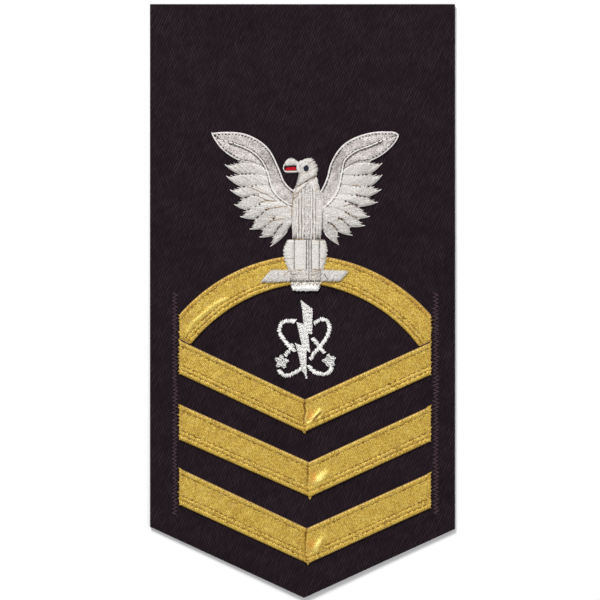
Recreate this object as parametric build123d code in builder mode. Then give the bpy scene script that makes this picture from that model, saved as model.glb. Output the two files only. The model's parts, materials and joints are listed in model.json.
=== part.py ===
"""A sleeve rank patch: a pointed cloth ground, four gold lace stripes, a padded
embroidered eagle on its perch and a small embroidered mark under the arch."""

import os
from collections import namedtuple
from math import cos, radians, sin

from build123d import *

# All sizes are in millimetres. X runs across the patch, Y up it and Z out of its face.
# The origin is under the middle of the cloth, on the face that is sewn to a sleeve.

# Cloth ground
ground_width = 99.0
ground_top = 96.35
ground_left_corner = -73.3
ground_right_corner = -74.0
ground_point_x = 0.5
ground_thickness = 1.2

# Clearances between neighbouring pieces
seat_gap = 0.05
seam_gap = 0.12

# Gold lace
stripe_left_end = -40.1
stripe_right_end = 41.7
lace_thickness = 0.75
border_rise = 0.15
mitre_width = 0.35
mitre_depth = 0.3
mitre_overrun = 1.0

# Heights of the embroidery above its seat
panel_rise = 0.8
cord_rise = 0.65
cord_width = 0.5
cord_round = 0.2
midrib_rise = 0.95
midrib_width = 0.95
feather_rise = 0.9
pad_inset = 0.35
pad_step = 0.22
body_rise = 1.6
head_rise = 1.35
beak_round = 0.18
beak_rise = 1.1
tongue_rise = 0.95
jaw_rise = 0.75
leg_rise = 1.65
leg_round = 0.3
perch_rise = 0.75
perch_round = 0.3
foot_rise = 1.3
mark_rise = 0.6
orbit_width = 1.6
side_stitch_rise = 0.25

panel_inset = midrib_width / 2 + seam_gap
seat = ground_thickness + seat_gap
lace_top = seat + lace_thickness + border_rise
over_lace = lace_top + seat_gap

# One row for each stripe: the inner corner and the tip of its mitre, and the height of its
# upper and lower edges where its two ends are cut
Chevron = namedtuple(
    "Chevron",
    "name apex_x apex_y tip_x tip_y left_upper left_lower right_upper right_lower",
)
CHEVRONS = [
    Chevron("chevron_top", 0.8, -31.6, 0.9, -42.5, -12.4, -23.6, -13.0, -24.0),
    Chevron("chevron_middle", 1.9, -51.8, 2.4, -64.4, -33.1, -45.0, -33.5, -45.5),
    Chevron("chevron_bottom", 1.9, -73.3, 2.1, -85.1, -53.9, -66.0, -55.4, -67.2),
]

# The two edges of the arched stripe, run on past the places where its ends are cut
ArchEdge = namedtuple("ArchEdge", "left left_mid crown right_mid right")
ARCH_OUTER = ArchEdge((-43.0, -8.2), (-20.3, 10.6), (0.8, 15.1), (21.9, 10.3), (44.2, -8.4))
ARCH_INNER = ArchEdge((-39.6, -18.2), (-20.3, -0.2), (0.8, 5.7), (21.9, -0.6), (40.8, -18.6))
arch_left_end = -39.8
arch_right_end = 41.6

# Raised borders of the lace, as shares of its width from the upper or outer edge
Border = namedtuple("Border", "start end")
BORDERS = [Border(0.0, 0.15), Border(0.72, 0.84), Border(0.87, 1.0)]

# Upright zigzag seams beside the stripes
SideSeam = namedtuple("SideSeam", "name x width top bottom")
SIDE_SEAMS = [
    SideSeam("side_stitching_left", -41.35, 2.0, 2.6, -70.1),
    SideSeam("side_stitching_right", 43.3, 1.7, 2.6, -70.1),
]

# Wings. Each edge is a run of arcs through a few places on the cloth. The leading edge runs
# from the body to the tip, the trailing edge back from the tip, the foot on to the midrib and
# the midrib from near the tip to the body.
Wing = namedtuple("Wing", "side inward body_x leading_edge trailing_edge panel_foot midrib")
WINGS = [
    Wing(
        "left",
        1,
        -3.6,
        [(-2.6, 35.5), (-6.1, 38.8), (-7.4, 42.0), (-12.0, 50.1), (-18.7, 54.1),
         (-25.6, 54.9), (-29.6, 54.4)],
        [(-29.6, 54.4), (-26.3, 49.7), (-20.3, 45.7)],
        [(-20.3, 45.7), (-16.1, 45.0), (-11.5, 42.3)],
        [(-26.2, 52.1), (-21.0, 50.6), (-16.6, 48.6), (-13.4, 45.8), (-11.5, 42.3),
         (-9.3, 35.6), (-2.6, 30.6)],
    ),
    Wing(
        "right",
        -1,
        7.0,
        [(5.7, 35.0), (8.0, 39.7), (9.2, 44.2), (13.2, 50.4), (21.0, 54.5), (27.5, 55.0),
         (31.3, 54.0)],
        [(31.3, 54.0), (27.9, 49.3), (22.1, 45.7)],
        [(22.1, 45.7), (17.4, 44.9), (12.8, 42.0)],
        [(28.0, 53.0), (22.6, 50.6), (16.2, 47.9), (13.6, 45.4), (12.8, 42.0), (11.0, 35.0),
         (5.8, 29.6)],
    ),
]

midrib_place_at_foot = 4
body_reach = 20

# One row for each feather, from the shoulder down: its tip, and the seam that bounds it
# below, from the open notch over a bend to its root. The first row has no feather: it is
# the seam above the first one.
Feather = namedtuple("Feather", "tip_x tip_y notch_x notch_y bend_x bend_y root_x root_y")
FEATHERS = {
    "left": [
        Feather(None, None, -20.0, 45.1, -16.3, 44.7, -10.5, 41.4),
        Feather(-25.5, 44.3, -20.6, 41.2, -16.7, 41.2, -10.6, 40.0),
        Feather(-25.0, 40.7, -20.0, 37.0, -14.1, 37.5, -9.5, 36.9),
        Feather(-23.8, 36.2, -19.3, 33.4, -15.5, 34.4, -7.4, 33.2),
        Feather(-22.5, 31.4, -18.5, 29.4, -12.8, 31.8, -5.2, 31.9),
        Feather(-20.4, 27.4, -15.5, 26.4, -11.7, 29.7, -2.6, 30.2),
        Feather(-17.4, 23.3, -13.1, 23.5, -8.5, 27.5, -2.6, 28.6),
        Feather(-14.1, 20.7, -9.6, 21.1, -7.4, 24.3, -2.6, 27.2),
        Feather(-10.4, 17.7, -5.3, 22.1, -4.4, 23.9, -2.6, 25.8),
    ],
    "right": [
        Feather(None, None, 21.8, 45.1, 17.8, 44.6, 12.0, 41.2),
        Feather(25.8, 44.7, 21.8, 41.2, 18.0, 40.7, 12.4, 40.6),
        Feather(25.8, 40.9, 22.4, 37.3, 16.2, 37.2, 11.6, 37.6),
        Feather(25.5, 36.2, 21.2, 33.7, 17.4, 34.2, 10.2, 34.6),
        Feather(24.4, 32.1, 18.6, 30.6, 15.9, 31.8, 8.6, 32.6),
        Feather(21.8, 27.5, 18.3, 26.7, 14.0, 28.8, 6.8, 30.6),
        Feather(20.2, 24.5, 15.6, 24.0, 12.7, 26.4, 6.0, 28.2),
        Feather(16.2, 21.3, 11.7, 22.4, 9.7, 24.8, 6.0, 26.0),
        Feather(11.8, 18.3, 7.7, 21.2, 7.0, 22.4, 6.0, 24.0),
    ],
}
feather_upper_bow = 0.07
feather_lower_bow = 0.09

# Body and head, with the neck seam between them. Each edge is a run of arcs.
BODY_RIGHT = [(4.6, 40.5), (5.6, 36.2), (6.5, 32.3), (6.5, 26.5), (5.8, 20.1)]
BODY_LEFT = [(-2.9, 20.1), (-3.4, 28.0), (-2.4, 36.6)]
HEAD_BACK = [(4.6, 40.8), (5.2, 43.7), (2.8, 46.5)]
HEAD_CROWN = [(2.8, 46.5), (0.8, 46.1), (-1.2, 45.2)]
HEAD_THROAT = [(-1.3, 43.6), (-1.3, 40.3), (-2.4, 36.9)]
BEAK_TOP = [(-1.4, 45.1), (-3.9, 46.35), (-6.3, 43.4)]
BEAK_UNDER = [(-6.3, 43.4), (-6.2, 42.5), (-5.8, 43.75), (-1.5, 43.9), (-1.4, 45.1)]
TONGUE = [(-5.6, 43.6), (-1.7, 43.75), (-1.7, 42.55), (-5.7, 42.45)]
BEAK_LOWER = [(-5.9, 42.3), (-1.7, 42.35), (-1.7, 41.7), (-5.5, 41.65)]
EYE_CENTRE = (1.2, 43.0)
eye_radius = 0.85
eye_rise = 0.3

# Legs and centre strips, from the body down over the upper half of the arched stripe
leg_top_y = 19.9
leg_bottom_y = 10.3
strips_x = 2.1
strips_width = 1.3
strips_proud = 0.15
strips_bottom_y = 6.9
leg_bulge_y = 15.4
Leg = namedtuple("Leg", "name inner_x top_x bulge_x bottom_x")
LEGS = [
    Leg("leg_left", 1.33, -4.6, -6.1, -4.3),
    Leg("leg_right", 2.87, 7.2, 8.1, 6.2),
]

# Perch, its arms running out along the stripe, and the foot under it
Perch = namedtuple("Perch", "name corners")
PERCH = [
    Perch("perch_left", [(-10.1, 10.0), (-4.15, 10.0), (-4.15, 6.5), (-13.6, 6.1)]),
    Perch("perch_block", [(-4.0, 10.15), (6.0, 10.15), (6.0, 6.4), (-4.0, 6.4)]),
    Perch("perch_right", [(6.15, 10.0), (14.9, 9.7), (12.2, 6.5), (6.15, 6.5)]),
]
FOOT = [(-4.0, 6.25), (6.1, 6.25), (5.2, 3.4), (-3.1, 3.4)]

# Mark
star_outer = 2.5
star_inner = 1.15
star_points = 5
Star = namedtuple("Star", "name x y first_angle")
STARS = [
    Star("mark_star_left", -6.6, -19.5, 88),
    Star("mark_star_right", 8.7, -19.3, 99),
]
Orbit = namedtuple("Orbit", "name curve arm")
ORBITS = [
    Orbit(
        "mark_orbit_left_upper",
        [(-2.8, -6.5), (-5.9, -6.8), (-7.5, -9.2), (-6.2, -12.3), (-2.9, -16.1)],
        [(-3.1, -14.2), (-4.9, -17.2)],
    ),
    Orbit(
        "mark_orbit_right_upper",
        [(4.2, -7.1), (7.2, -6.0), (8.9, -8.8), (7.0, -13.2), (2.6, -18.6)],
        [(3.3, -12.0), (7.0, -16.6)],
    ),
    Orbit(
        "mark_orbit_left_lower",
        [(-7.9, -22.6), (-6.9, -23.7), (-4.9, -24.4), (-1.4, -22.8)],
        [],
    ),
    Orbit(
        "mark_orbit_right_lower",
        [(9.7, -22.5), (8.6, -23.6), (6.0, -23.9), (2.5, -21.6)],
        [],
    ),
]
BOLT = [
    (-0.3, 0.3), (3.4, -2.5), (3.2, -10.9), (1.9, -10.4), (2.5, -16.9), (1.2, -15.9),
    (1.4, -22.1), (1.5, -25.4), (-0.7, -21.7), (-1.3, -18.5), (-2.3, -13.6), (-0.2, -14.4),
    (-2.1, -6.8), (0.3, -7.6), (-0.4, -1.4),
]


def save(piece, name):
    """Labels a finished piece and writes it."""
    piece.part.label = name
    export_step(piece.part, f"parts/{name}.step")


def between(start, end, share):
    """The place at a share of the way from start to end."""
    return tuple(a + (b - a) * share for a, b in zip(start, end))


def bowed(start, end, bow):
    """A shallow arc that swells to the left of its direction by bow times its length."""
    middle = between(start, end, 0.5)
    run_x = end[0] - start[0]
    run_y = end[1] - start[1]
    ThreePointArc(start, (middle[0] - run_y * bow, middle[1] + run_x * bow), end)


def arc_run(places):
    """A smooth run of arcs: one through the first three places, then on to each of the rest."""
    last = ThreePointArc(*places[:3])
    for place in places[3:]:
        last = TangentArc(last @ 1, place, tangent=last % 1)


def stop_at_body(wing):
    """Ends a wing's sketch just short of the body."""
    with Locations((wing.body_x + wing.inward * body_reach / 2, ground_top / 2)):
        Rectangle(body_reach, ground_top, mode=Mode.SUBTRACT)


def cut_beside(run, width):
    """Keeps a sketch clear of a cord or seam that runs beside it."""
    trace(run.line, width + 2 * seam_gap, mode=Mode.SUBTRACT)


def drop_scraps(outline):
    """Keeps only the largest face of a sketch that was cut."""
    for scrap in outline.faces().sort_by(SortBy.AREA)[:-1]:
        add(scrap, mode=Mode.SUBTRACT)


def pad(outline, rise, layers=2):
    """Raises an outline in layers of padding, each a little narrower than the one below."""
    extrude(amount=rise - pad_step * (layers - 1))
    for layer in range(1, layers):
        with BuildSketch(Plane.XY.offset(seat)) as narrower:
            add(outline.sketch_local)
            offset(amount=-pad_inset * layer)
        extrude(narrower.sketch, amount=rise - pad_step * (layers - 1 - layer))


def rounded_top(piece, radius):
    """Rounds the upper rim of a padded piece."""
    top = piece.faces().sort_by(Axis.Z)[-1]
    fillet(top.outer_wire().edges(), radius)


def chevron_outline(row, start, end):
    """The V of a stripe between two shares of its width."""
    upper = [(stripe_left_end, row.left_upper), (row.apex_x, row.apex_y),
             (stripe_right_end, row.right_upper)]
    lower = [(stripe_left_end, row.left_lower), (row.tip_x, row.tip_y),
             (stripe_right_end, row.right_lower)]
    first = [between(a, b, start) for a, b in zip(upper, lower)]
    last = [between(a, b, end) for a, b in zip(upper, lower)]
    Polyline(*first, *reversed(last), close=True)


def arch_outline(start, end):
    """The arched band between two shares of its width, before its ends are cut."""
    first = ArchEdge(*(between(a, b, start) for a, b in zip(ARCH_OUTER, ARCH_INNER)))
    last = ArchEdge(*(between(a, b, end) for a, b in zip(ARCH_OUTER, ARCH_INNER)))
    ThreePointArc(first.left, first.left_mid, first.crown)
    ThreePointArc(first.crown, first.right_mid, first.right)
    Line(first.right, last.right)
    ThreePointArc(last.right, last.right_mid, last.crown)
    ThreePointArc(last.crown, last.left_mid, last.left)
    Line(last.left, first.left)


def raise_lace(draw_outline, *row):
    """Raises a stripe of lace and, a little higher, its borders."""
    bands = [(Border(0.0, 1.0), lace_thickness)]
    bands += [(border, lace_thickness + border_rise) for border in BORDERS]
    for border, rise in bands:
        with BuildSketch(Plane.XY.offset(seat)) as band:
            with BuildLine():
                draw_outline(*row, border.start, border.end)
            make_face()
        extrude(band.sketch, amount=rise)


def feather_outline(row, above):
    """One feather, from the seam above it round its tip to the seam below it."""
    tip = (row.tip_x, row.tip_y)
    notch_above = (above.notch_x, above.notch_y)
    notch_below = (row.notch_x, row.notch_y)
    hand = 1 if row.tip_x < 0 else -1
    bowed(notch_above, tip, -feather_upper_bow * hand)
    bowed(tip, notch_below, -feather_lower_bow * hand)
    Polyline(
        notch_below,
        (row.bend_x, row.bend_y),
        (row.root_x, row.root_y),
        (above.root_x, above.root_y),
        (above.bend_x, above.bend_y),
        notch_above,
    )


def star_outline(row):
    """A star of five blunt points."""
    corners = []
    for step in range(2 * star_points):
        reach = star_inner if step % 2 else star_outer
        angle = radians(row.first_angle + step * 180 / star_points)
        corners.append((row.x + reach * cos(angle), row.y + reach * sin(angle)))
    Polyline(*corners, close=True)


def clear_the_arch():
    """Cuts away what would sink into the arched stripe."""
    with BuildSketch(Plane.XY.offset(ground_thickness)) as arch:
        with BuildLine():
            arch_outline(0.0, 1.0)
        make_face()
        offset(amount=seam_gap)
    extrude(arch.sketch, amount=over_lace - ground_thickness, mode=Mode.SUBTRACT)


os.makedirs("parts", exist_ok=True)

# Cloth ground, cut to a blunt point at its lower end
with BuildPart() as ground_cloth:
    with BuildSketch():
        with BuildLine():
            Polyline(
                (-ground_width / 2, ground_top),
                (ground_width / 2, ground_top),
                (ground_width / 2, ground_right_corner),
                (ground_point_x, -ground_top),
                (-ground_width / 2, ground_left_corner),
                close=True,
            )
        make_face()
    extrude(amount=ground_thickness)
save(ground_cloth, "ground_cloth")

# V stripes: flat lace with raised borders and a creased mitre
for row in CHEVRONS:
    with BuildPart() as chevron:
        raise_lace(chevron_outline, row)
        with BuildSketch(Plane.XY.offset(lace_top - mitre_depth)):
            with BuildLine():
                Polyline(
                    (row.apex_x - mitre_width / 2, row.apex_y + mitre_overrun),
                    (row.apex_x + mitre_width / 2, row.apex_y + mitre_overrun),
                    (row.tip_x + mitre_width / 2, row.tip_y - mitre_overrun),
                    (row.tip_x - mitre_width / 2, row.tip_y - mitre_overrun),
                    close=True,
                )
            make_face()
        extrude(amount=mitre_depth, mode=Mode.SUBTRACT)
    save(chevron, row.name)

# Arched stripe, cut upright at its ends and along the stripe below
top_row = CHEVRONS[0]
with BuildPart() as rocker_stripe:
    raise_lace(arch_outline)
    with BuildSketch(Plane.XY.offset(seat)):
        with BuildLine():
            Polyline(
                (arch_left_end, ground_top),
                (arch_right_end, ground_top),
                (arch_right_end, top_row.right_upper + seam_gap),
                (top_row.apex_x, top_row.apex_y + seam_gap),
                (arch_left_end, top_row.left_upper + seam_gap),
                close=True,
            )
        make_face()
    extrude(amount=lace_thickness + border_rise, mode=Mode.INTERSECT)
save(rocker_stripe, "rocker_stripe")

# Upright seams beside the stripes
for row in SIDE_SEAMS:
    with BuildPart() as side_seam:
        with BuildSketch(Plane.XY.offset(seat)):
            with Locations((row.x, (row.top + row.bottom) / 2)):
                Rectangle(row.width, row.top - row.bottom)
        extrude(amount=side_stitch_rise)
    save(side_seam, row.name)

for wing in WINGS:
    with BuildLine() as edge_run:
        arc_run(wing.leading_edge)
        arc_run(wing.trailing_edge)
    with BuildLine() as midrib_run:
        arc_run(wing.midrib)

    # Couched cord round the wing
    with BuildPart() as edge_cord:
        with BuildSketch(Plane.XY.offset(seat)):
            trace(edge_run.line, cord_width)
            stop_at_body(wing)
        extrude(amount=cord_rise)
    save(edge_cord, f"{wing.side}_wing_edge_cord")

    # Double cord along the midrib
    with BuildPart() as midrib:
        with BuildSketch(Plane.XY.offset(seat)) as outline:
            trace(midrib_run.line, midrib_width)
            cut_beside(edge_run, cord_width)
            stop_at_body(wing)
            drop_scraps(outline)
        extrude(amount=midrib_rise)
        rounded_top(midrib, cord_round)
    save(midrib, f"{wing.side}_wing_midrib")

    # Panel between the leading edge and the midrib
    with BuildPart() as upper_panel:
        with BuildSketch(Plane.XY.offset(seat)) as outline:
            with BuildLine():
                arc_run(wing.leading_edge)
                Line(wing.leading_edge[-1], wing.midrib[0])
                arc_run(wing.midrib)
                Line(wing.midrib[-1], wing.leading_edge[0])
            make_face()
            offset(amount=-panel_inset)
            stop_at_body(wing)
        pad(outline, panel_rise)
    save(upper_panel, f"{wing.side}_wing_upper_panel")

    # Panel between the midrib and the trailing edge
    with BuildPart() as lower_panel:
        with BuildSketch(Plane.XY.offset(seat)) as outline:
            with BuildLine():
                arc_run(wing.midrib[: midrib_place_at_foot + 1])
                arc_run(wing.panel_foot)
                arc_run(wing.trailing_edge)
                Line(wing.trailing_edge[0], wing.midrib[0])
            make_face()
            offset(amount=-panel_inset)
        pad(outline, panel_rise)
    save(lower_panel, f"{wing.side}_wing_lower_panel")

    rows = FEATHERS[wing.side]
    for number in range(1, len(rows)):
        with BuildPart() as feather:
            with BuildSketch(Plane.XY.offset(seat)) as outline:
                with BuildLine():
                    feather_outline(rows[number], rows[number - 1])
                make_face()
                offset(amount=-seam_gap / 2)
                cut_beside(midrib_run, midrib_width)
                stop_at_body(wing)
                drop_scraps(outline)
            pad(outline, feather_rise)
        save(feather, f"{wing.side}_feather_{number}")

# Body: a tall padded form under the neck
with BuildPart() as body:
    with BuildSketch(Plane.XY.offset(seat)) as outline:
        with BuildLine():
            arc_run(BODY_RIGHT)
            Line(BODY_RIGHT[-1], BODY_LEFT[0])
            arc_run(BODY_LEFT)
            Line(BODY_LEFT[-1], BODY_RIGHT[0])
        make_face()
        offset(amount=-seam_gap / 2)
    pad(outline, body_rise, layers=4)
save(body, "body")

# Head, from the neck seam over the crown to the throat
with BuildPart() as head:
    with BuildSketch(Plane.XY.offset(seat)) as outline:
        with BuildLine():
            arc_run(HEAD_BACK)
            arc_run(HEAD_CROWN)
            Line(HEAD_CROWN[-1], HEAD_THROAT[0])
            arc_run(HEAD_THROAT)
            Line(HEAD_THROAT[-1], HEAD_BACK[0])
        make_face()
        offset(amount=-seam_gap / 2)
    pad(outline, head_rise, layers=3)
save(head, "head")

# Hooked upper beak
with BuildPart() as beak_upper:
    with BuildSketch(Plane.XY.offset(seat)) as outline:
        with BuildLine():
            arc_run(BEAK_TOP)
            Polyline(*BEAK_UNDER)
        make_face()
    pad(outline, beak_rise)
save(beak_upper, "beak_upper")

with BuildPart() as tongue:
    with BuildSketch(Plane.XY.offset(seat)):
        with BuildLine():
            Polyline(*TONGUE, close=True)
        make_face()
    extrude(amount=tongue_rise)
    rounded_top(tongue, beak_round)
save(tongue, "tongue")

with BuildPart() as beak_lower:
    with BuildSketch(Plane.XY.offset(seat)):
        with BuildLine():
            Polyline(*BEAK_LOWER, close=True)
        make_face()
    extrude(amount=jaw_rise)
    rounded_top(beak_lower, beak_round)
save(beak_lower, "beak_lower")

# Eye, a round knot on the side of the head
with BuildPart() as eye:
    with BuildSketch(Plane.XY.offset(seat + head_rise + seat_gap)):
        with Locations(EYE_CENTRE):
            Circle(eye_radius)
    extrude(amount=eye_rise)
    rounded_top(eye, eye_rise / 2)
save(eye, "eye")

# Legs, one padded half each side of the centre strips
for row in LEGS:
    corners = [
        (row.bottom_x, leg_bottom_y),
        (row.inner_x, leg_bottom_y),
        (row.inner_x, leg_top_y),
        (row.top_x, leg_top_y),
    ]
    with BuildPart() as leg:
        with BuildSketch(Plane.XY.offset(seat)):
            with BuildLine():
                ThreePointArc(corners[-1], (row.bulge_x, leg_bulge_y), corners[0])
                Polyline(*corners)
            make_face()
        extrude(amount=leg_rise)
        rounded_top(leg, leg_round)
        clear_the_arch()
    save(leg, row.name)

# Centre strips, down from the body between the legs and on over the perch
with BuildPart() as centre_strips:
    with BuildSketch(Plane.XY.offset(seat)):
        with Locations((strips_x, (leg_top_y + leg_bottom_y) / 2)):
            Rectangle(strips_width, leg_top_y - leg_bottom_y)
    extrude(amount=leg_rise + strips_proud)
    with BuildSketch(Plane.XY.offset(over_lace + perch_rise + seat_gap)):
        with Locations((strips_x, (leg_bottom_y + strips_bottom_y) / 2)):
            Rectangle(strips_width, leg_bottom_y - strips_bottom_y)
    extrude(amount=seat + leg_rise + strips_proud - over_lace - perch_rise - seat_gap)
    clear_the_arch()
save(centre_strips, "centre_strips")

# Perch: two slanted arms and the block that grips them, all on the arched stripe
for name, corners in PERCH:
    with BuildPart() as perch:
        with BuildSketch(Plane.XY.offset(over_lace)):
            with BuildLine():
                Polyline(*corners, close=True)
            make_face()
        extrude(amount=perch_rise)
        rounded_top(perch, perch_round)
    save(perch, name)

# Foot below the perch, half on the stripe and half on the cloth
with BuildPart() as foot:
    with BuildSketch(Plane.XY.offset(seat)):
        with BuildLine():
            Polyline(*FOOT, close=True)
        make_face()
    extrude(amount=foot_rise)
    rounded_top(foot, perch_round)
    clear_the_arch()
save(foot, "foot")

# Mark: the bolt, its orbits and its stars
with BuildPart() as mark_bolt:
    with BuildSketch(Plane.XY.offset(seat)):
        with BuildLine():
            Polyline(*BOLT, close=True)
        make_face()
    extrude(amount=mark_rise)
save(mark_bolt, "mark_bolt")

for row in ORBITS:
    with BuildLine() as orbit_run:
        arc_run(row.curve)
    with BuildPart() as orbit:
        with BuildSketch(Plane.XY.offset(seat)):
            trace(orbit_run.line, orbit_width)
            if row.arm:
                with BuildLine() as arm_run:
                    Line(*row.arm)
                trace(arm_run.line, orbit_width)
        extrude(amount=mark_rise)
    save(orbit, row.name)

for row in STARS:
    with BuildPart() as star:
        with BuildSketch(Plane.XY.offset(seat)):
            with BuildLine():
                star_outline(row)
            make_face()
        extrude(amount=mark_rise)
    save(star, row.name)
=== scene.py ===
"""The looks of a sleeve rank patch: wool twill, woven gold lace, laid bullion, purl and thread."""

import json
import math
from collections import namedtuple

import bpy
import numpy as np
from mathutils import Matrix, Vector

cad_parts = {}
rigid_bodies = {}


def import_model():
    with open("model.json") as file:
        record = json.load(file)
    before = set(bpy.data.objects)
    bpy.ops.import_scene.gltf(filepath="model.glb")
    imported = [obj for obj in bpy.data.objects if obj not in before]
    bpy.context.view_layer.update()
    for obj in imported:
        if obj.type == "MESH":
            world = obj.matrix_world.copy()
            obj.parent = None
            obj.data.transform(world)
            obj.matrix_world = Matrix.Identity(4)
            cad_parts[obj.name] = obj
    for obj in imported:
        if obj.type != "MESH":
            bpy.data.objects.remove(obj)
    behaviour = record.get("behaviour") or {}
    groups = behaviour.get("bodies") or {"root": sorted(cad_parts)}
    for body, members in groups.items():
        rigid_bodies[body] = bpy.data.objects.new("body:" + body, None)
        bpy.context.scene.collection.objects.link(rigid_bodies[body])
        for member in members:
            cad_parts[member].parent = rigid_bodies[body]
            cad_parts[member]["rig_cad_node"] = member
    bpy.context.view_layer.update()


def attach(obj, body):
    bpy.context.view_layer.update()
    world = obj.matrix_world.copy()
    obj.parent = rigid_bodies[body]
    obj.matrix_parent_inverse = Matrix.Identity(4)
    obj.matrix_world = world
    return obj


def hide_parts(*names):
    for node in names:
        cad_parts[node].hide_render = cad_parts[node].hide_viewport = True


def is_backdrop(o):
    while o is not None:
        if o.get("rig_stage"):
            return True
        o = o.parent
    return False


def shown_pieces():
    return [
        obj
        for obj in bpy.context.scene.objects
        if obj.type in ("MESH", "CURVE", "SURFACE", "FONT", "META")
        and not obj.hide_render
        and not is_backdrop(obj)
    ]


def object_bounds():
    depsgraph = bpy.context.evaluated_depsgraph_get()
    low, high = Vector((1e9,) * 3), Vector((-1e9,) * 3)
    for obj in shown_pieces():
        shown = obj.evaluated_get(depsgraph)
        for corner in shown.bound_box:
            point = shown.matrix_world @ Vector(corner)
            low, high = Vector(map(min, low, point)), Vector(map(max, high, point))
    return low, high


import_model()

# Places and sizes are in millimetres, as on the cutting pattern, and become metres when a
# piece is made. X runs across the patch, Y up it and Z out of its face.
METRE = 0.001
CLOTH_TOP = 1.2
SEAT = 1.25
LACE_SEAT = 2.2
luck = np.random.RandomState(27)

# ---------------------------------------------------------------- places on the cloth


def spaced(points, count):
    """Evenly spaced places along a run of straight stretches."""
    points = np.asarray(points, float)
    steps = np.linalg.norm(np.diff(points, axis=0), axis=1)
    reach = np.concatenate([[0], np.cumsum(steps)])
    at = np.linspace(0, reach[-1], count)
    return np.stack([np.interp(at, reach, column) for column in points.T], axis=1)


def curve(points, count=60):
    """Evenly spaced places along a smooth curve through the points."""
    points = np.array(points, float)
    steps = np.diff(points, axis=0)
    lengths = np.linalg.norm(steps, axis=1)[:, None]
    slopes = steps / lengths
    tangents = np.empty_like(points)
    shared = slopes[:-1] * lengths[1:] + slopes[1:] * lengths[:-1]
    tangents[1:-1] = shared / (lengths[:-1] + lengths[1:])
    tangents[0] = 2 * slopes[0] - tangents[1]
    tangents[-1] = 2 * slopes[-1] - tangents[-2]
    t = np.linspace(0, 1, 24, endpoint=False)[None, :, None]
    start, end, span = points[:-1, None], points[1:, None], lengths[:, None]
    fine = (
        (1 + 2 * t) * (1 - t) ** 2 * start
        + t * (1 - t) ** 2 * span * tangents[:-1, None]
        + t * t * (3 - 2 * t) * end
        + t * t * (t - 1) * span * tangents[1:, None]
    )
    fine = np.concatenate([fine.reshape(-1, points.shape[1]), points[-1:]])
    return spaced(fine, count)


def length_of(run):
    """The length of a run of places."""
    return float(np.linalg.norm(np.diff(run, axis=0), axis=1).sum())


def away(spots, run):
    """Distance of each spot from a run, on the cloth."""
    start, step = run[:-1], np.diff(run, axis=0)
    offset = spots[..., None, :] - start
    share = np.clip((offset * step).sum(-1) / ((step * step).sum(-1) + 1e-12), 0, 1)
    return np.linalg.norm(offset - share[..., None] * step, axis=-1).min(-1)


def closed(outline):
    """An outline with its first place repeated at the end."""
    return np.concatenate([outline, outline[:1]])


def within(spots, outline):
    """Which spots lie inside an outline."""
    x, y = spots[..., 0, None], spots[..., 1, None]
    x1, y1 = np.asarray(outline, float).T
    x2, y2 = np.roll(x1, -1), np.roll(y1, -1)
    crosses = (y1 > y) != (y2 > y)
    climb = np.where(y2 == y1, 1e-9, y2 - y1)
    return (crosses & (x < x1 + (y - y1) * (x2 - x1) / climb)).sum(-1) % 2 == 1


def swell(distance, run):
    """How full a padded form is at a distance in from its edge, from 0 to 1."""
    near = np.clip(distance / run, 0, 1)
    return np.sqrt(1 - (1 - near) ** 2)


def bell(distance, width):
    """1 at no distance, falling smoothly away on both sides."""
    return np.exp(-((distance / width) ** 2))


def padded(outline, base, rise, run):
    """The height over a padded outline: from a base at its rim, full at a run in from it."""
    rim = closed(outline)
    return lambda spots: base + rise * swell(away(spots, rim), run)


def raised(height, by):
    """A height over a form, moved up or down."""
    return lambda spots: height(spots) + by


def level(rise):
    """The same height above the seat all over."""
    return lambda spots: SEAT + rise + 0 * spots[..., 0]


def ways(run):
    """Unit directions along a run on the cloth, and those that point to its left."""
    way = np.gradient(run, axis=0)
    way /= np.linalg.norm(way, axis=1, keepdims=True)
    return way, np.stack([-way[:, 1], way[:, 0]], axis=1)


def spread(run, share):
    """The places at shares of a run's length."""
    index = np.clip(share, 0, 1) * (len(run) - 1)
    return np.stack([np.interp(index, np.arange(len(run)), column) for column in run.T], axis=1)


def hatch(outline, angle, pitch, overhang=0.0, wander=0.12):
    """Starts and ends of the side by side strands that fill an outline, angle from X."""
    outline = np.asarray(outline, float)
    turn = math.radians(angle)
    axis = np.array([math.cos(turn), math.sin(turn)])
    side = np.array([-axis[1], axis[0]])
    u, v = outline @ axis, outline @ side
    u2, v2 = np.roll(u, -1), np.roll(v, -1)
    starts, ends = [], []
    for row in np.arange(v.min() + pitch * 0.4, v.max(), pitch):
        row += luck.uniform(-wander, wander) * pitch
        hit = (v > row) != (v2 > row)
        at = np.sort(u[hit] + (row - v[hit]) * (u2[hit] - u[hit]) / (v2[hit] - v[hit]))
        for first, last in zip(at[::2], at[1::2]):
            if last - first > 0.2:
                starts.append(axis * (first - overhang * luck.uniform(0, 1)) + side * row)
                ends.append(axis * (last + overhang * luck.uniform(0, 1)) + side * row)
    return np.array(starts), np.array(ends)


def between(starts, ends, stations, bow=0.0):
    """Lines of places from each start to its end, bowed sideways by a share of their length."""
    t = np.linspace(0, 1, stations)[None, :, None]
    run = ends - starts
    across = np.stack([-run[:, 1], run[:, 0]], axis=-1)
    return starts[:, None] * (1 - t) + ends[:, None] * t + across[:, None] * bow * 4 * t * (1 - t)


def lifted(lines, heights):
    """Lines on the cloth, given their heights above the sewn face."""
    heights = np.broadcast_to(heights, lines.shape[:-1])
    return np.concatenate([lines, heights[..., None]], axis=-1)


# ---------------------------------------------------------------- forms laid many times

Form = namedtuple("Form", "across up beyond station faces turns stations")
Batch = namedtuple("Batch", "points faces lay tint finish")


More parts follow.
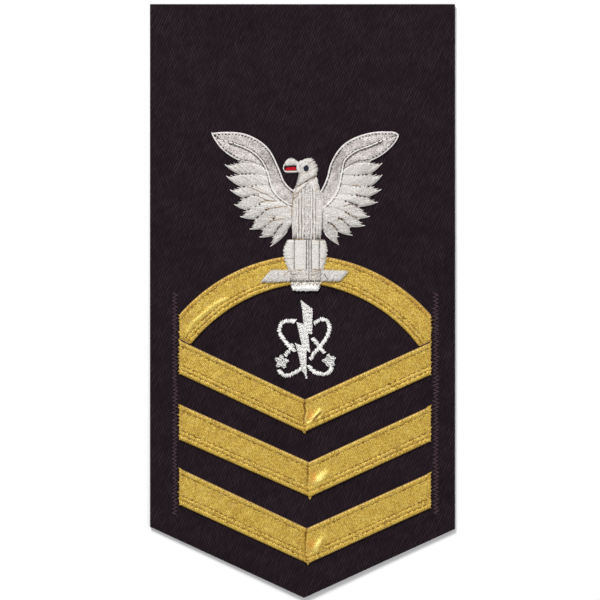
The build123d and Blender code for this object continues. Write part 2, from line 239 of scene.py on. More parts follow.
def model_strand(sides, stations, end_size):
    """One strand of unit length and radius along X, drawn in at its ends, to be copied."""
    bpy.ops.object.select_all(action="DESELECT")
    bpy.ops.mesh.primitive_cylinder_add(
        vertices=sides, radius=1, depth=1, end_fill_type="TRIFAN", rotation=(0, math.pi / 2, 0)
    )
    strand = bpy.context.object
    bpy.ops.object.transform_apply(location=False, rotation=True, scale=False)
    bpy.ops.object.mode_set(mode="EDIT")
    for step in range(1, stations - 1):
        bpy.ops.mesh.select_all(action="SELECT")
        bpy.ops.mesh.bisect(plane_co=(step / (stations - 1) - 0.5, 0, 0), plane_no=(1, 0, 0))
    bpy.ops.mesh.select_all(action="DESELECT")
    bpy.ops.object.mode_set(mode="OBJECT")
    for end in (-0.5, 0.5):
        for vertex in strand.data.vertices:
            vertex.select = abs(vertex.co.x - end) < 1e-4
        bpy.ops.object.mode_set(mode="EDIT")
        bpy.ops.transform.resize(value=(1, end_size, end_size), center_override=(end, 0, 0))
        bpy.ops.mesh.select_all(action="DESELECT")
        bpy.ops.object.mode_set(mode="OBJECT")
    places = np.array([vertex.co for vertex in strand.data.vertices])
    station = np.rint((places[:, 0] + 0.5) * (stations - 1)).astype(int)
    centre = np.hypot(places[:, 1], places[:, 2]) < 1e-4
    beyond = np.where(centre, np.sign(places[:, 0]), 0.0)
    turn = np.arctan2(places[:, 2], places[:, 1]) / (2 * math.pi) % 1
    faces = [tuple(face.vertices) for face in strand.data.polygons]
    turns = []
    for face in faces:
        own = [turn[v] for v in face]
        if max(own) - min(own) > 0.5:
            own = [t + 1 if t < 0.5 else t for t in own]
        turns.extend(own)
    bpy.data.objects.remove(strand)
    return Form(places[:, 1], places[:, 2], beyond, station, faces, np.array(turns), stations)


def lay(form, lines, radius, finish, squash=1.0, tint=None):
    """Lays a copy of a form along each line, and keeps its run and turn for the finish."""
    lines = np.asarray(lines, float)
    radius = np.broadcast_to(radius, lines.shape[:2])[..., None]
    tangent = np.gradient(lines, axis=1)
    tangent /= np.linalg.norm(tangent, axis=-1, keepdims=True) + 1e-12
    side = np.cross([0.0, 0.0, 1.0], tangent)
    side /= np.linalg.norm(side, axis=-1, keepdims=True) + 1e-12
    up = np.cross(tangent, side)
    s = form.station
    points = (
        lines[:, s]
        + side[:, s] * form.across[:, None] * radius[:, s]
        + up[:, s] * form.up[:, None] * radius[:, s] * squash
        + tangent[:, s] * form.beyond[:, None] * radius[:, s] * 0.6
    )
    steps = np.linalg.norm(np.diff(lines, axis=1), axis=-1)
    reach = np.concatenate([np.zeros((len(lines), 1)), np.cumsum(steps, axis=1)], axis=1)
    reach += luck.uniform(0, 1, (len(lines), 1))
    corners = np.concatenate([np.array(face) for face in form.faces])
    runs = reach[:, s[corners]]
    turns = np.broadcast_to(form.turns, runs.shape)
    count = len(s)
    faces = [
        tuple(v + copy * count for v in face) for copy in range(len(lines)) for face in form.faces
    ]
    if tint is None:
        tint = luck.uniform(0, 1, len(lines))
    return Batch(
        points.reshape(-1, 3),
        faces,
        np.stack([runs, turns], axis=-1).reshape(-1, 2),
        np.repeat(tint, count),
        finish,
    )


def dress(piece, nodes):
    """Lets a finished piece ride on the patch in place of its plain forms."""
    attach(piece, "root")
    if nodes:
        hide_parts(*nodes)


def make_piece(name, batches, nodes=()):
    """Joins batches of laid copies in one piece."""
    points, faces, lays, tints, finishes, marks = [], [], [], [], [], []
    start = 0
    for batch in batches:
        if batch.finish not in finishes:
            finishes.append(batch.finish)
        points.append(batch.points)
        faces.extend(tuple(v + start for v in face) for face in batch.faces)
        marks.extend([finishes.index(batch.finish)] * len(batch.faces))
        lays.append(batch.lay)
        tints.append(batch.tint)
        start += len(batch.points)
    mesh = bpy.data.meshes.new(name)
    mesh.from_pydata((np.concatenate(points) * METRE).tolist(), [], faces)
    for finish in finishes:
        mesh.materials.append(finish)
    mesh.polygons.foreach_set("material_index", marks)
    mesh.polygons.foreach_set("use_smooth", [True] * len(faces))
    layer = mesh.uv_layers.new(name="lay")
    layer.uv.foreach_set("vector", np.concatenate(lays).astype(np.float32).ravel())
    tint = mesh.attributes.new("tint", "FLOAT", "POINT")
    tint.data.foreach_set("value", np.concatenate(tints).astype(np.float32))
    mesh.update()
    piece = bpy.data.objects.new(name, mesh)
    bpy.context.scene.collection.objects.link(piece)
    dress(piece, nodes)


def pebbles(outline, pitch, size, radius, height, finish, margin=0.1, slope=0.25, shade=None):
    """Short chips of purl strewn closely over an outline."""
    outline = np.asarray(outline, float)
    low, high = outline.min(0), outline.max(0)
    columns = np.arange(low[0], high[0], pitch)
    rows = np.arange(low[1], high[1], pitch * 0.87)
    grid = np.array([(x + (i % 2) * pitch / 2, y) for i, y in enumerate(rows) for x in columns])
    grid += luck.uniform(-0.3, 0.3, grid.shape) * pitch
    grid = grid[within(grid, outline)]
    grid = grid[away(grid, closed(outline)) > margin]
    turn = luck.uniform(0, math.pi, len(grid))
    half = np.stack([np.cos(turn), np.sin(turn)], axis=1) * size / 2
    half *= luck.uniform(0.75, 1.15, (len(grid), 1))
    lines = between(grid - half, grid + half, chip.stations, bow=0.06)
    tilt = luck.uniform(-slope, slope, (len(grid), 1)) * np.linspace(-1, 1, chip.stations) * size
    lines = lifted(lines, height(lines) + tilt / 2 + luck.uniform(-0.05, 0.07, (len(grid), 1)))
    tint = luck.uniform(0, 1, len(grid))
    if shade is not None:
        tint = np.clip(tint + shade(grid), -1, 1.2)
    return lay(chip, lines, radius, finish, tint=tint)


def twisted_cord(run, radius, pitch, finish):
    """A cord of two plies: short slanted turns, one after another along a run of places."""
    count = max(2, int(length_of(run) / pitch))
    fine = spaced(run, count * 4 + 1)
    side = np.cross([0.0, 0.0, 1.0], np.gradient(fine, axis=0))
    side /= np.linalg.norm(side, axis=1, keepdims=True)
    t = np.linspace(-1, 1, ply_turn.stations)
    lines = []
    for centre in np.arange(count) * 4 + 2:
        share = (centre + t * 4.6) / (len(fine) - 1)
        line = spread(fine, share) + spread(side, share) * (t * radius * 0.62)[:, None]
        line[:, 2] += radius * 0.42 * (1 - t * t)
        lines.append(line)
    return lay(ply_turn, np.array(lines), radius * 0.6, finish, tint=luck.uniform(0.3, 0.9, count))


def laid(outline, angle, pitch, radius, height, finish, overhang=0.0):
    """Strands laid side by side over a padded outline."""
    lines = between(*hatch(outline, angle, pitch, overhang), strand.stations)
    return lay(strand, lifted(lines, height(lines)), radius, finish)


def thread_line(points, radius, height, finish, rise=0.0):
    """One long thread along a smooth line over the padding."""
    line = curve(points, long_strand.stations)
    return lay(long_strand, lifted(line, height(line) + rise)[None], radius, finish)


def dash(first, last, heights):
    """The line of one short stitch."""
    return lifted(np.linspace(first, last, stitch.stations), heights)


# ---------------------------------------------------------------- finishes


def shader_operator(operation, reflected=False):
    """How two shader values are added, multiplied and so on, by a maths node."""
    if reflected:
        return lambda self, other: self.maths(operation, other, self)
    return lambda self, other: self.maths(operation, self, other)


class Value:
    """A socket that takes part in shader maths."""

    def __init__(self, finish, socket):
        self.finish = finish
        self.socket = socket

    def out(self, name):
        return Value(self.finish, self.socket.node.outputs[name])

    def maths(self, operation, first, second=0.0):
        return self.finish.node("ShaderNodeMath", {"operation": operation}, {0: first, 1: second})

    __add__ = shader_operator("ADD")
    __radd__ = shader_operator("ADD", reflected=True)
    __sub__ = shader_operator("SUBTRACT")
    __rsub__ = shader_operator("SUBTRACT", reflected=True)
    __mul__ = shader_operator("MULTIPLY")
    __rmul__ = shader_operator("MULTIPLY", reflected=True)
    __truediv__ = shader_operator("DIVIDE")

    def wave(self):
        """A smooth rise and fall from 0 to 1, once in every whole number."""
        return self.maths("SINE", self * (2 * math.pi)) * 0.5 + 0.5

    def kept(self, low, high):
        """The value between two limits, spread from 0 to 1."""
        return self.finish.node(
            "ShaderNodeMapRange", {"clamp": True}, {0: self, 1: low, 2: high, 3: 0.0, 4: 1.0}
        )


class Finish:
    """One material and the nodes in it."""

    def __init__(self, name, **shader):
        self.material = bpy.data.materials.new(name)
        self.material.use_nodes = True
        self.tree = self.material.node_tree
        self.tree.nodes.clear()
        output = self.tree.nodes.new("ShaderNodeOutputMaterial")
        self.surface = self.tree.nodes.new("ShaderNodeBsdfPrincipled")
        self.tree.links.new(self.surface.outputs[0], output.inputs[0])
        self.wear(**shader)

    def node(self, kind, settings=None, inputs=None):
        made = self.tree.nodes.new(kind)
        for setting, value in (settings or {}).items():
            if setting == "stops":
                ramp = made.color_ramp.elements
                while len(ramp) < len(value):
                    ramp.new(0.5)
                for stop, (place, chart) in zip(ramp, value):
                    stop.position = place
                    stop.color = light_of(chart)
            else:
                setattr(made, setting, value)
        for socket, value in (inputs or {}).items():
            self.join(value, made.inputs[socket])
        return Value(self, next(o for o in made.outputs if o.enabled))

    def join(self, value, socket):
        if isinstance(value, Value):
            self.tree.links.new(value.socket, socket)
        else:
            socket.default_value = value

    def mix(self, share, first, second):
        """A colour between two, each one a link or read from the chart."""
        first, second = (light_of(c) if isinstance(c, tuple) else c for c in (first, second))
        return self.node("ShaderNodeMix", {"data_type": "RGBA"}, {0: share, 6: first, 7: second})

    def noise(self, place, scale, detail=2.0):
        """Soft mottling, about 0 to 1, with this many patches to a millimetre."""
        return self.node(
            "ShaderNodeTexNoise", {}, {"Vector": place, "Scale": scale, "Detail": detail}
        )

    def place(self):
        """Where a point is on the patch, in millimetres."""
        place = self.node("ShaderNodeTexCoord").out("Object")
        return self.node("ShaderNodeVectorMath", {"operation": "SCALE"}, {0: place, 3: 1000.0})

    def split(self, vector):
        """The first two parts of a place."""
        parts = self.node("ShaderNodeSeparateXYZ", {}, {0: vector})
        return parts.out("X"), parts.out("Y")

    def chart(self):
        """How far a point is along its strand or stripe, and its turn round it or way across."""
        return self.split(self.node("ShaderNodeUVMap", {"uv_map": "lay"}))

    def amount(self, name):
        """What the mesh keeps under this name."""
        return self.node("ShaderNodeAttribute", {"attribute_name": name}).out("Fac")

    def wear(self, **sockets):
        """Gives the surface's sockets their values and links."""
        named = {socket.name.lower().replace(" ", "_"): socket for socket in self.surface.inputs}
        for socket, value in sockets.items():
            self.join(value, named[socket])
        return self.material

    def relief(self, height, depth):
        """Fine relief, depth in millimetres."""
        return self.node(
            "ShaderNodeBump", {}, {"Height": height, "Distance": depth * METRE, "Strength": 1.0}
        )


def light_of(chart):
    """A colour as it is seen on a chart, red, green and blue from 0 to 255, as light."""
    parts = [c / 255 for c in chart]
    return (*(c / 12.92 if c <= 0.04045 else ((c + 0.055) / 1.055) ** 2.4 for c in parts), 1)


def thread(name, light, dark, ply=0.45, depth=0.05, grain=1.2, even=0.4, **shader):
    """Twisted thread or bullion: fine slanted plies, each strand a little lighter or darker."""
    finish = Finish(name, **shader)
    run, turn = finish.chart()
    turns = (run / ply + turn).wave()
    mottle = finish.noise(finish.place(), grain).kept(0.3, 0.7)
    share = (finish.amount("tint") * even + turns * 0.2 + mottle * 0.6).kept(0.1, even + 0.7)
    return finish.wear(
        base_color=finish.mix(share, dark, light), normal=finish.relief(turns, depth)
    )


MATT = {"roughness": 0.8, "specular_ior_level": 0.15}
GILT = 0.2
bullion = thread(
    "white_bullion", (247, 244, 240), (164, 156, 149), grain=2.4, even=0.22, roughness=0.42
)
leg_bullion = thread(
    "leg_bullion", (236, 233, 228), (188, 182, 176), depth=0.03, grain=2.0, even=0.12,
    roughness=0.42
)
worn_bullion = thread("worn_bullion", (238, 233, 227), (156, 148, 141), grain=2.0, roughness=0.45)
purl = thread(
    "grey_purl", (234, 227, 224), (152, 145, 143), depth=0.06, grain=0.5, roughness=0.32,
    metallic=0.15
)
silver_cord = thread("silver_cord", (248, 246, 243), (206, 200, 194), roughness=0.35)
floss = thread(
    "white_floss", (255, 255, 253), (234, 231, 226), grain=2.2, even=0.15, roughness=0.5
)
seam_brown = thread("seam_brown", (182, 156, 126), (112, 88, 68), roughness=0.7)
# Brownish thread laid in the body's valleys as painted shade.
valley_thread = thread("valley_thread", (182, 160, 138), (116, 94, 78), roughness=0.7)
tan_thread = thread("tan_thread", (196, 162, 112), (120, 88, 54), roughness=0.6)
dark_thread = thread("dark_thread", (52, 42, 46), (14, 10, 14), **MATT)
side_thread = thread("side_thread", (78, 60, 66), (45, 33, 39), **MATT)
midrib_thread = thread("midrib_thread", (96, 84, 78), (34, 29, 30), roughness=0.8)
red_silk = thread("red_silk", (222, 4, 32), (150, 0, 18), roughness=0.6, specular_ior_level=0.2)
navy_silk = thread("navy_silk", (34, 38, 58), (8, 9, 18), roughness=0.5, specular_ior_level=0.25)
gold_thread = thread("gold_thread", (244, 222, 138), (208, 174, 84), roughness=0.34, metallic=GILT)
rib_gold = thread("rib_gold_thread", (226, 196, 92), (164, 122, 44), roughness=0.38, metallic=GILT)
shaded_gold = thread(
    "shaded_gold_thread", (160, 120, 36), (104, 72, 14), roughness=0.45, metallic=GILT
)


def gold_lace_finish():
    """Gold lace: fine ribs across its length with painted highlight and shade on them, specks of
    light and dark, greyer in broad patches, a painted highlight along its upper edge, and painted
    highlights, shade and wear kept on its mesh.
    """
    finish = Finish("gold_lace", metallic=0.4)
    run, across = finish.chart()
    place = finish.place()
    ribs = (run / 0.62 + finish.noise(place, 0.9) * 0.8).wave()
    floats = (across / 0.5 + run / 1.24).wave()
    weave = ribs * 0.6 + floats * 0.4
    speck, patch = finish.noise(place, 2.1), finish.noise(place, 0.3)
    # The weave's ribs are painted lighter on their crests and darker between them, as highlight
    # and shade; the mesh adds its painted highlights, shade and wear.
    share = weave * 0.32 + speck * 1.5 + patch * 0.35 + finish.amount("tone") * 0.55
    stops = [
        (0.0, (108, 72, 14)), (0.3, (178, 140, 42)), (0.6, (208, 178, 76)), (1.0, (248, 232, 136)),
    ]
    colour = finish.node("ShaderNodeValToRGB", {"stops": stops}, {0: share.kept(0.5, 1.82)})
    # Broad greyer patches in the gold.
    grey_share = finish.noise(place, 0.55, 3.0).kept(0.5, 0.75) * 0.32
    with_grey_patches = finish.mix(grey_share, colour, (186, 158, 104))
    # A pale pinkish line along the upper edge: a painted highlight.
    edge = (1 - across.kept(0.12, 0.42)) * 0.42
    edge_highlighted = finish.mix(edge, with_grey_patches, (204, 168, 142))
    warm = finish.amount("warm") * (0.5 + speck * 0.6)
    return finish.wear(
        base_color=finish.mix(warm, edge_highlighted, (216, 150, 62)),
        roughness=0.3 + speck * 0.3,
        normal=finish.relief(weave * 0.6 + speck, 0.12),
    )


def twill_finish():
    """Dark wool twill, its ribs leaning to the right, with a little nap."""
    finish = Finish("navy_twill", roughness=0.9, specular_ior_level=0.08)
    place = finish.place()
    x, y = finish.split(place)
    lean = math.radians(65)
    along = x * math.cos(lean) + y * math.sin(lean)
    across = (x * math.sin(lean) - y * math.cos(lean)) / 0.81 + finish.noise(place, 0.35) * 0.5
    yarn = across.wave() * 0.8 + (along / 1.7 + across * 0.5).wave() * 0.2
    nap, cloud = finish.noise(place, 5.0, 3.0), finish.noise(place, 0.05)
    drawn_out = finish.node("ShaderNodeCombineXYZ", {}, {0: across * 1.3, 1: along * 0.45, 2: 0.0})
    broken = finish.noise(drawn_out, 0.8).kept(0.3, 0.7)
    faded = finish.noise(place, 0.16).kept(0.32, 0.68)
    share = yarn * (broken * 0.75 + 0.15) * (faded * 0.5 + 0.5) + nap * 0.6 + cloud * 0.15
    colour = finish.mix(share.kept(0.25, 1.15), (9, 5, 8), (52, 39, 47))
    return finish.wear(base_color=colour, normal=finish.relief(yarn + nap * 0.6, 0.12))


gold_lace = gold_lace_finish()
navy_twill = twill_finish()

strand = model_strand(6, 7, 0.45)
long_strand = model_strand(6, 13, 0.5)
chip = model_strand(5, 4, 0.6)
ply_turn = model_strand(6, 5, 0.25)
stitch = model_strand(5, 4, 0.5)

# ---------------------------------------------------------------- cloth ground

GROUND_HALF = 49.5
GROUND_TOP = 96.35
GROUND_COLUMNS, GROUND_ROWS = 66, 128
GROUND_CORNERS = [(-49.5, -73.3), (0.5, -96.35), (49.5, -74.0)]


def cut_along(first, last, keep_side):
    """Cuts the mesh being edited along an upright plane through two places."""
    run = np.array(last, float) - np.array(first, float)
    run /= np.linalg.norm(run)
    bpy.ops.mesh.select_all(action="SELECT")
    bpy.ops.mesh.bisect(
        plane_co=(first[0] * METRE, first[1] * METRE, 0),
        plane_no=(-run[1] * keep_side, run[0] * keep_side, 0),
        clear_inner=True,
        threshold=1e-7,
    )


bpy.ops.object.select_all(action="DESELECT")
bpy.ops.mesh.primitive_grid_add(x_subdivisions=GROUND_COLUMNS, y_subdivisions=GROUND_ROWS, size=1)
ground = bpy.context.object
ground.name = ground.data.name = "ground_twill"
bpy.ops.object.mode_set(mode="EDIT")
bpy.ops.transform.resize(value=(2 * GROUND_HALF * METRE, 2 * GROUND_TOP * METRE, 1))
cut_along(GROUND_CORNERS[0], GROUND_CORNERS[1], 1)
cut_along(GROUND_CORNERS[1], GROUND_CORNERS[2], 1)
bpy.ops.object.mode_set(mode="OBJECT")
thickness = ground.modifiers.new("thickness", "SOLIDIFY")
thickness.thickness = CLOTH_TOP * METRE
thickness.offset = 1
bpy.ops.object.modifier_apply(modifier="thickness")
rim = ground.modifiers.new("rim", "BEVEL")
rim.width = 0.3 * METRE
rim.segments = 2
rim.limit_method = "ANGLE"
rim.angle_limit = math.radians(60)
bpy.ops.object.modifier_apply(modifier="rim")
bpy.ops.object.shade_smooth()
ground.data.materials.append(navy_twill)
dress(ground, ["ground_cloth"])

# ---------------------------------------------------------------- gold lace

Chevron = namedtuple(
    "Chevron",
    "name apex tip left_upper left_lower right_upper right_lower fold fold_width "
    "hollow hang shifts under",
)
CREASE_DEPTHS = (0, 2.2, 4.2, 6.2, 8.0, 11.5)
LEFT_END, RIGHT_END = -39.9, 41.55
CHEVRONS = [
    Chevron(
        "top", (0.8, -31.95), (0.5, -42.55), -12.7, -23.65, -13.4, -23.95,
        [(2.3, -39.8), (6.3, -35.4)], 1.05, 1, 0.35,
        (0, -0.14, 0.32, -0.22, 0.18, 0.4), [(2.0, -40.0), (4.0, -38.5), (7.4, -37.0)],
    ),
    Chevron(
        "middle", (2.1, -52.3), (2.4, -63.6), -33.5, -45.0, -34.1, -45.55,
        [(3.7, -59.9), (8.4, -55.4)], 1.65, 0, 0.9,
        (-0.3, -0.45, -0.4, -0.5, -0.7, -0.1), [(3.6, -60.8), (6.2, -59.4), (8.5, -58.6)],
    ),
    Chevron(
        "bottom", (1.4, -73.75), (1.75, -85.2), -54.3, -66.1, -55.7, -67.15,
        [(3.6, -81.7), (6.6, -76.9)], 1.15, 0, 0.4,
        (0, -0.38, -0.5, -0.6, -0.6, 0.05), [(3.4, -82.3), (5.6, -80.7), (7.8, -79.9)],
    ),
]
ARCH_OUTER = [(-43.0, -8.3), (-20.3, 10.2), (0.8, 15.0), (21.9, 10.1), (44.2, -7.6)]
ARCH_INNER = [(-39.6, -18.9), (-20.3, -0.6), (0.8, 5.85), (21.9, -0.7), (40.8, -19.3)]
BORDERS = ((0.01, 0.14), (0.73, 0.84), (0.86, 0.99))
STITCH_ROWS = (0.15, 0.715, 0.85)
FLOAT_ROWS = (0.035, 0.075, 0.115, 0.175, 0.69, 0.75, 0.785, 0.815, 0.885, 0.92, 0.955)
LACE_RISE = 0.75
LACE_TOP = SEAT + LACE_RISE
LACE_ROWS = 47
ARM_STATIONS, ARCH_STATIONS = 190, 420


def lace_relief(run, across, width):
    """Height of the lace above its seat at a place along and across it."""
    share = across / width
    relief = LACE_RISE + luck.normal(0, 0.022, run.shape)
    for start, end in BORDERS:
        middle = np.clip((share - start) / (end - start), 0, 1)
        relief += 0.12 * np.sin(math.pi * middle) ** 0.7
    for row in STITCH_ROWS:
        relief -= 0.1 * bell((share - row) * width, 0.22)
    relief -= 0.3 * bell(np.minimum(across, width - across), 0.16)
    relief += 0.035 * np.sin(run / 1.9 + across / 2.3) + 0.03 * np.sin(run / 0.77 - across / 1.3)
    return relief


def rows_between(upper, lower):
    """The rows of places of a stripe, from its upper edge to its lower one."""
    share = np.linspace(0, 1, LACE_ROWS)[:, None, None]
    return upper[None] * (1 - share) + lower[None] * share


def weave(name, upper, lower, run, across, width, extra, cuts=()):
    """Makes one stripe of lace: a fine grid shaped to its edges and relief, then closed below."""
    rows, stations = run.shape
    bpy.ops.object.select_all(action="DESELECT")
    bpy.ops.mesh.primitive_grid_add(x_subdivisions=stations - 1, y_subdivisions=rows - 1, size=1)
    piece = bpy.context.object
    piece.name = piece.data.name = name
    flat = rows_between(upper, lower)
    rise, tone, warm = extra(flat)
    height = SEAT + lace_relief(run, across, width) + rise
    places = np.concatenate([flat, height[..., None]], axis=-1)[::-1]
    piece.data.vertices.foreach_set("co", (places * METRE).astype(np.float32).ravel())
    # The first layer keeps painted highlight and shade, and the arch rim's wear; the second keeps
    # warm colour.
    for layer_name, amount in (("tone", tone), ("warm", warm)):
        shade = piece.data.attributes.new(layer_name, "FLOAT", "POINT")
        shade.data.foreach_set("value", amount[::-1].astype(np.float32).ravel())
    layer = piece.data.uv_layers[0]
    layer.name = "lay"
    corner = np.zeros(len(piece.data.loops), np.int32)
    piece.data.loops.foreach_get("vertex_index", corner)
    chart = np.stack([run[::-1], across[::-1]], axis=-1).reshape(-1, 2)
    layer.uv.foreach_set("vector", chart[corner].astype(np.float32).ravel())
    bpy.ops.object.mode_set(mode="EDIT")
    for first, last, keep_side in cuts:
        cut_along(first, last, keep_side)
    bpy.ops.mesh.select_all(action="SELECT")
    bpy.ops.mesh.delete_loose()
    bpy.ops.mesh.select_all(action="DESELECT")
    bpy.ops.mesh.select_non_manifold()
    bpy.ops.mesh.extrude_region_move()
    bpy.ops.transform.resize(value=(1, 1, 0), center_override=(0, 0, SEAT * METRE))
    bpy.ops.mesh.fill()
    bpy.ops.mesh.select_all(action="SELECT")
    bpy.ops.mesh.normals_make_consistent(inside=False)
    bpy.ops.object.mode_set(mode="OBJECT")
    bpy.ops.object.shade_smooth_by_angle(angle=math.radians(50))
    piece.data.materials.append(gold_lace)
    return piece


def trim(upper, lower, start, end, keep=None):
    """Stitches beside the borders, and the loose bright and dark floats of the weave in them."""
    per_mm = 8
    floats = {shaded_gold: [], gold_thread: [], rib_gold: []}
    for share in STITCH_ROWS + FLOAT_ROWS:
        run = upper * (1 - share) + lower * share
        total = length_of(run)
        fine = spaced(run, int(total * per_mm))
        stitched = share in STITCH_ROWS
        at = start + luck.uniform(0, 0.5)
        while at < total - end:
            size = luck.uniform(0.9, 1.7) if stitched else luck.uniform(0.4, 0.9)
            first, last = int(at * per_mm), min(int((at + size) * per_mm), len(fine) - 1)
            if last - first >= 2:
                pair = np.linspace(fine[first], fine[last], stitch.stations)
                pair += luck.uniform(-0.1, 0.1, 2)
                turn = luck.uniform(-0.35, 0.35) + (0 if stitched else 0.3)
                way = (pair[-1] - pair[0]) / 2
                pair += np.outer(np.linspace(-turn, turn, stitch.stations), (-way[1], way[0]))
                rise = LACE_TOP + (0.02 if stitched else 0.08 * luck.uniform(0.1, 1.0))
                line = lifted(pair, rise - 0.1 * np.linspace(-1, 1, stitch.stations) ** 2)
                if keep is None or keep(line[1, :2]):
                    loose = [gold_thread, rib_gold, rib_gold, shaded_gold]
                    floats[shaded_gold if stitched else luck.choice(loose)].append(line)
            at += size + luck.uniform(0.2, 0.7)
    return [lay(stitch, np.array(lines), 0.115, finish) for finish, lines in floats.items()]


def end_threads(upper, lower, outwards, inset=1.2, step=1.05):
    """Zigzag gold stitches over a cut end, their points standing out past it."""
    edge = spaced([upper, lower], max(3, int(abs(upper[1] - lower[1]) / step) + 1))
    lines = []
    for here, there in zip(edge[:-1], edge[1:]):
        out = here + (outwards * luck.uniform(0.05, 0.62), luck.uniform(-0.2, 0.4))
        inner = (here + there) / 2 - (outwards * inset * luck.uniform(0.4, 1.1), 0)
        for first, last, rise in (
            (out, inner, [-0.45, -0.02, 0.06, 0.02]),
            (inner, there + (outwards * 0.2, 0), [0.02, 0.06, -0.04, -0.35]),
        ):
            for shift in (-0.12, 0.12):
                lines.append(
                    dash(first + (0, shift), last + (0, shift), LACE_TOP + np.array(rise))
                )
    return lay(stitch, np.array(lines), 0.14, rib_gold)


def bent(left, corner, right):
    """Places along a stripe's edge, from its left end to its corner and on to its right end."""
    return np.concatenate(
        [np.linspace(left, corner, ARM_STATIONS), np.linspace(corner, right, ARM_STATIONS)[1:]]
    )


def row_of(run, starts, reach, nudge, rise):
    """Short stitches along a run, each one nudged off it."""
    return np.array(
        [
            lifted(
                np.linspace(run[at], run[at + reach], stitch.stations) + nudge(), rise
            ) for at in starts
        ]
    )


def aside(distance):
    """A move across the patch, the same all along a stitch or growing along it."""
    return np.outer(np.broadcast_to(distance, stitch.stations), (1, 0))


for row in CHEVRONS:
    left_upper, right_upper = (LEFT_END, row.left_upper), (RIGHT_END, row.right_upper)
    left_lower, right_lower = (LEFT_END, row.left_lower), (RIGHT_END, row.right_lower)
    upper = bent(left_upper, row.apex, right_upper)
    lower = bent(left_lower, row.tip, right_lower)
    flat = rows_between(upper, lower)
    left_arm, right_arm = slice(0, ARM_STATIONS), slice(ARM_STATIONS, None)
    run, across, width = (np.zeros(flat.shape[:2]) for _ in range(3))
    for part, far in ((left_arm, left_upper), (right_arm, right_upper)):
        way = np.array(far) - row.apex
        way /= np.linalg.norm(way)
        offset = flat[:, part] - row.apex
        run[:, part] = offset @ way
        depth = np.abs(offset @ np.array([-way[1], way[0]]))
        width[:, part] = depth[-1:].max()
        across[:, part] = depth * width[:, part] / np.maximum(depth[-1:], 1e-6)
    apex, tip = np.array(row.apex), np.array(row.tip)
    downwards = (tip - apex) / np.linalg.norm(tip - apex)
    sideways = np.array([-downwards[1], downwards[0]])

    def mitre(places, row=row, apex=apex, downwards=downwards, sideways=sideways):
        """The crease where the two arms meet, and the shining fold beside it, with painted
        highlight on the fold and beside the crease, and painted shade in the crease, in the fold's
        hollow and over the left arm towards it.
        """
        down, beside = (places - apex) @ downwards, (places - apex) @ sideways
        beside = beside - np.interp(down, CREASE_DEPTHS, row.shifts)
        crease_strength = np.interp(down, [0, 0.8, 6.6, 8.2, 11.5], [0.5, 1, 1, 0.3, 0.35])
        crease_strength = crease_strength * (1 if row.hollow else 0.7)
        relief = -0.45 * crease_strength * bell(beside, 0.2)
        relief += 0.2 * bell(beside - 0.9, 0.5**0.5) + 0.1 * bell(beside + 0.9, 0.5**0.5)
        start, end = np.array(row.fold)
        line = end - start
        half = np.linalg.norm(line) / 2
        line /= 2 * half
        near = places - (start + end) / 2
        lengthwise = near @ line / half
        sidewise = near @ np.array([-line[1], line[0]]) / row.fold_width
        fade = np.exp(-np.abs(lengthwise) ** 3)
        hollow = row.hollow * bell(sidewise + 0.15, 0.34) * np.exp(-((lengthwise - 0.05) ** 4) * 4)
        relief += 0.62 * fade * bell(sidewise, 1) - 0.4 * hollow
        shine = bell(sidewise - 0.35, 0.42**0.5)
        shine += row.hollow * bell(sidewise + 0.8, 0.15**0.5) * np.clip(lengthwise + 0.2, 0, 1)
        # Painted highlight along the fold and beside the crease, painted shade in the fold's
        # hollow, in the crease and over the left arm towards it.
        tone = (1.5 if row.hollow else 1.25) * fade * shine - 2.3 * hollow
        tone -= 0.95 * crease_strength * bell(beside, 0.24)
        tone += 0.5 * crease_strength * bell(beside - 0.45, 0.22) * (down > 2.5)
        tone -= 0.4 * np.exp(-np.clip(-beside, 0, None) / 1.6) * (beside < 0) * (down > 1)
        warm = 0.9 * bell(np.hypot(beside - 1.9, (down - 5.0) / 1.7), 1.0)
        warm += 0.35 * bell(beside - 0.4, 0.4) * bell(down - 5.5, 3)
        return relief, tone, warm

    piece = weave(f"lace_{row.name}", upper, lower, run, across, width, mitre)
    dress(piece, [f"chevron_{row.name}"])

    crease = [
        row.apex + downwards * max(depth, 0.5) + sideways * shift
        for depth, shift in zip(CREASE_DEPTHS, row.shifts)
    ]
    crease, below_fold = curve(crease, 40), curve(row.under, 25)
    lean = np.linspace(-0.14, 0.14, stitch.stations)
    seam = row_of(
        crease, range(0, 37, 2), 2, lambda: aside(luck.uniform(-0.1, 0.1) + lean), LACE_TOP - 0.06
    )
    beside = row_of(
        crease, range(13, 25, 3), 3, lambda: aside(0.34 + luck.uniform(-0.08, 0.08)),
        LACE_TOP + 0.1
    )
    under = row_of(
        below_fold, range(0, 23, 2), 2, lambda: luck.uniform(-0.12, 0.12, 2), LACE_TOP + 0.1
    )
    tip_x, tip_y = row.tip
    nib = [(tip_x, tip_y + 0.55), (tip_x + 0.02, tip_y), (tip_x, tip_y - row.hang)]
    nib = lifted(spaced(nib, stitch.stations), SEAT + 0.4)[None]
    batches = [
        lay(stitch, seam[:6], 0.11, shaded_gold),
        lay(stitch, seam[6:], 0.09, rib_gold),
        lay(stitch, beside, 0.12, gold_thread),
        lay(stitch, under, 0.11, shaded_gold),
        lay(stitch, nib, [[0.7, 0.62, 0.42, 0.18]], rib_gold, 0.5),
        end_threads(left_upper, left_lower, -1),
        end_threads(right_upper, right_lower, 1),
        *trim(upper[left_arm], lower[left_arm], 0.6, 0.3),
        *trim(upper[right_arm], lower[right_arm], 0.3, 0.6),
    ]
    make_piece(f"lace_{row.name}_stitches", batches)


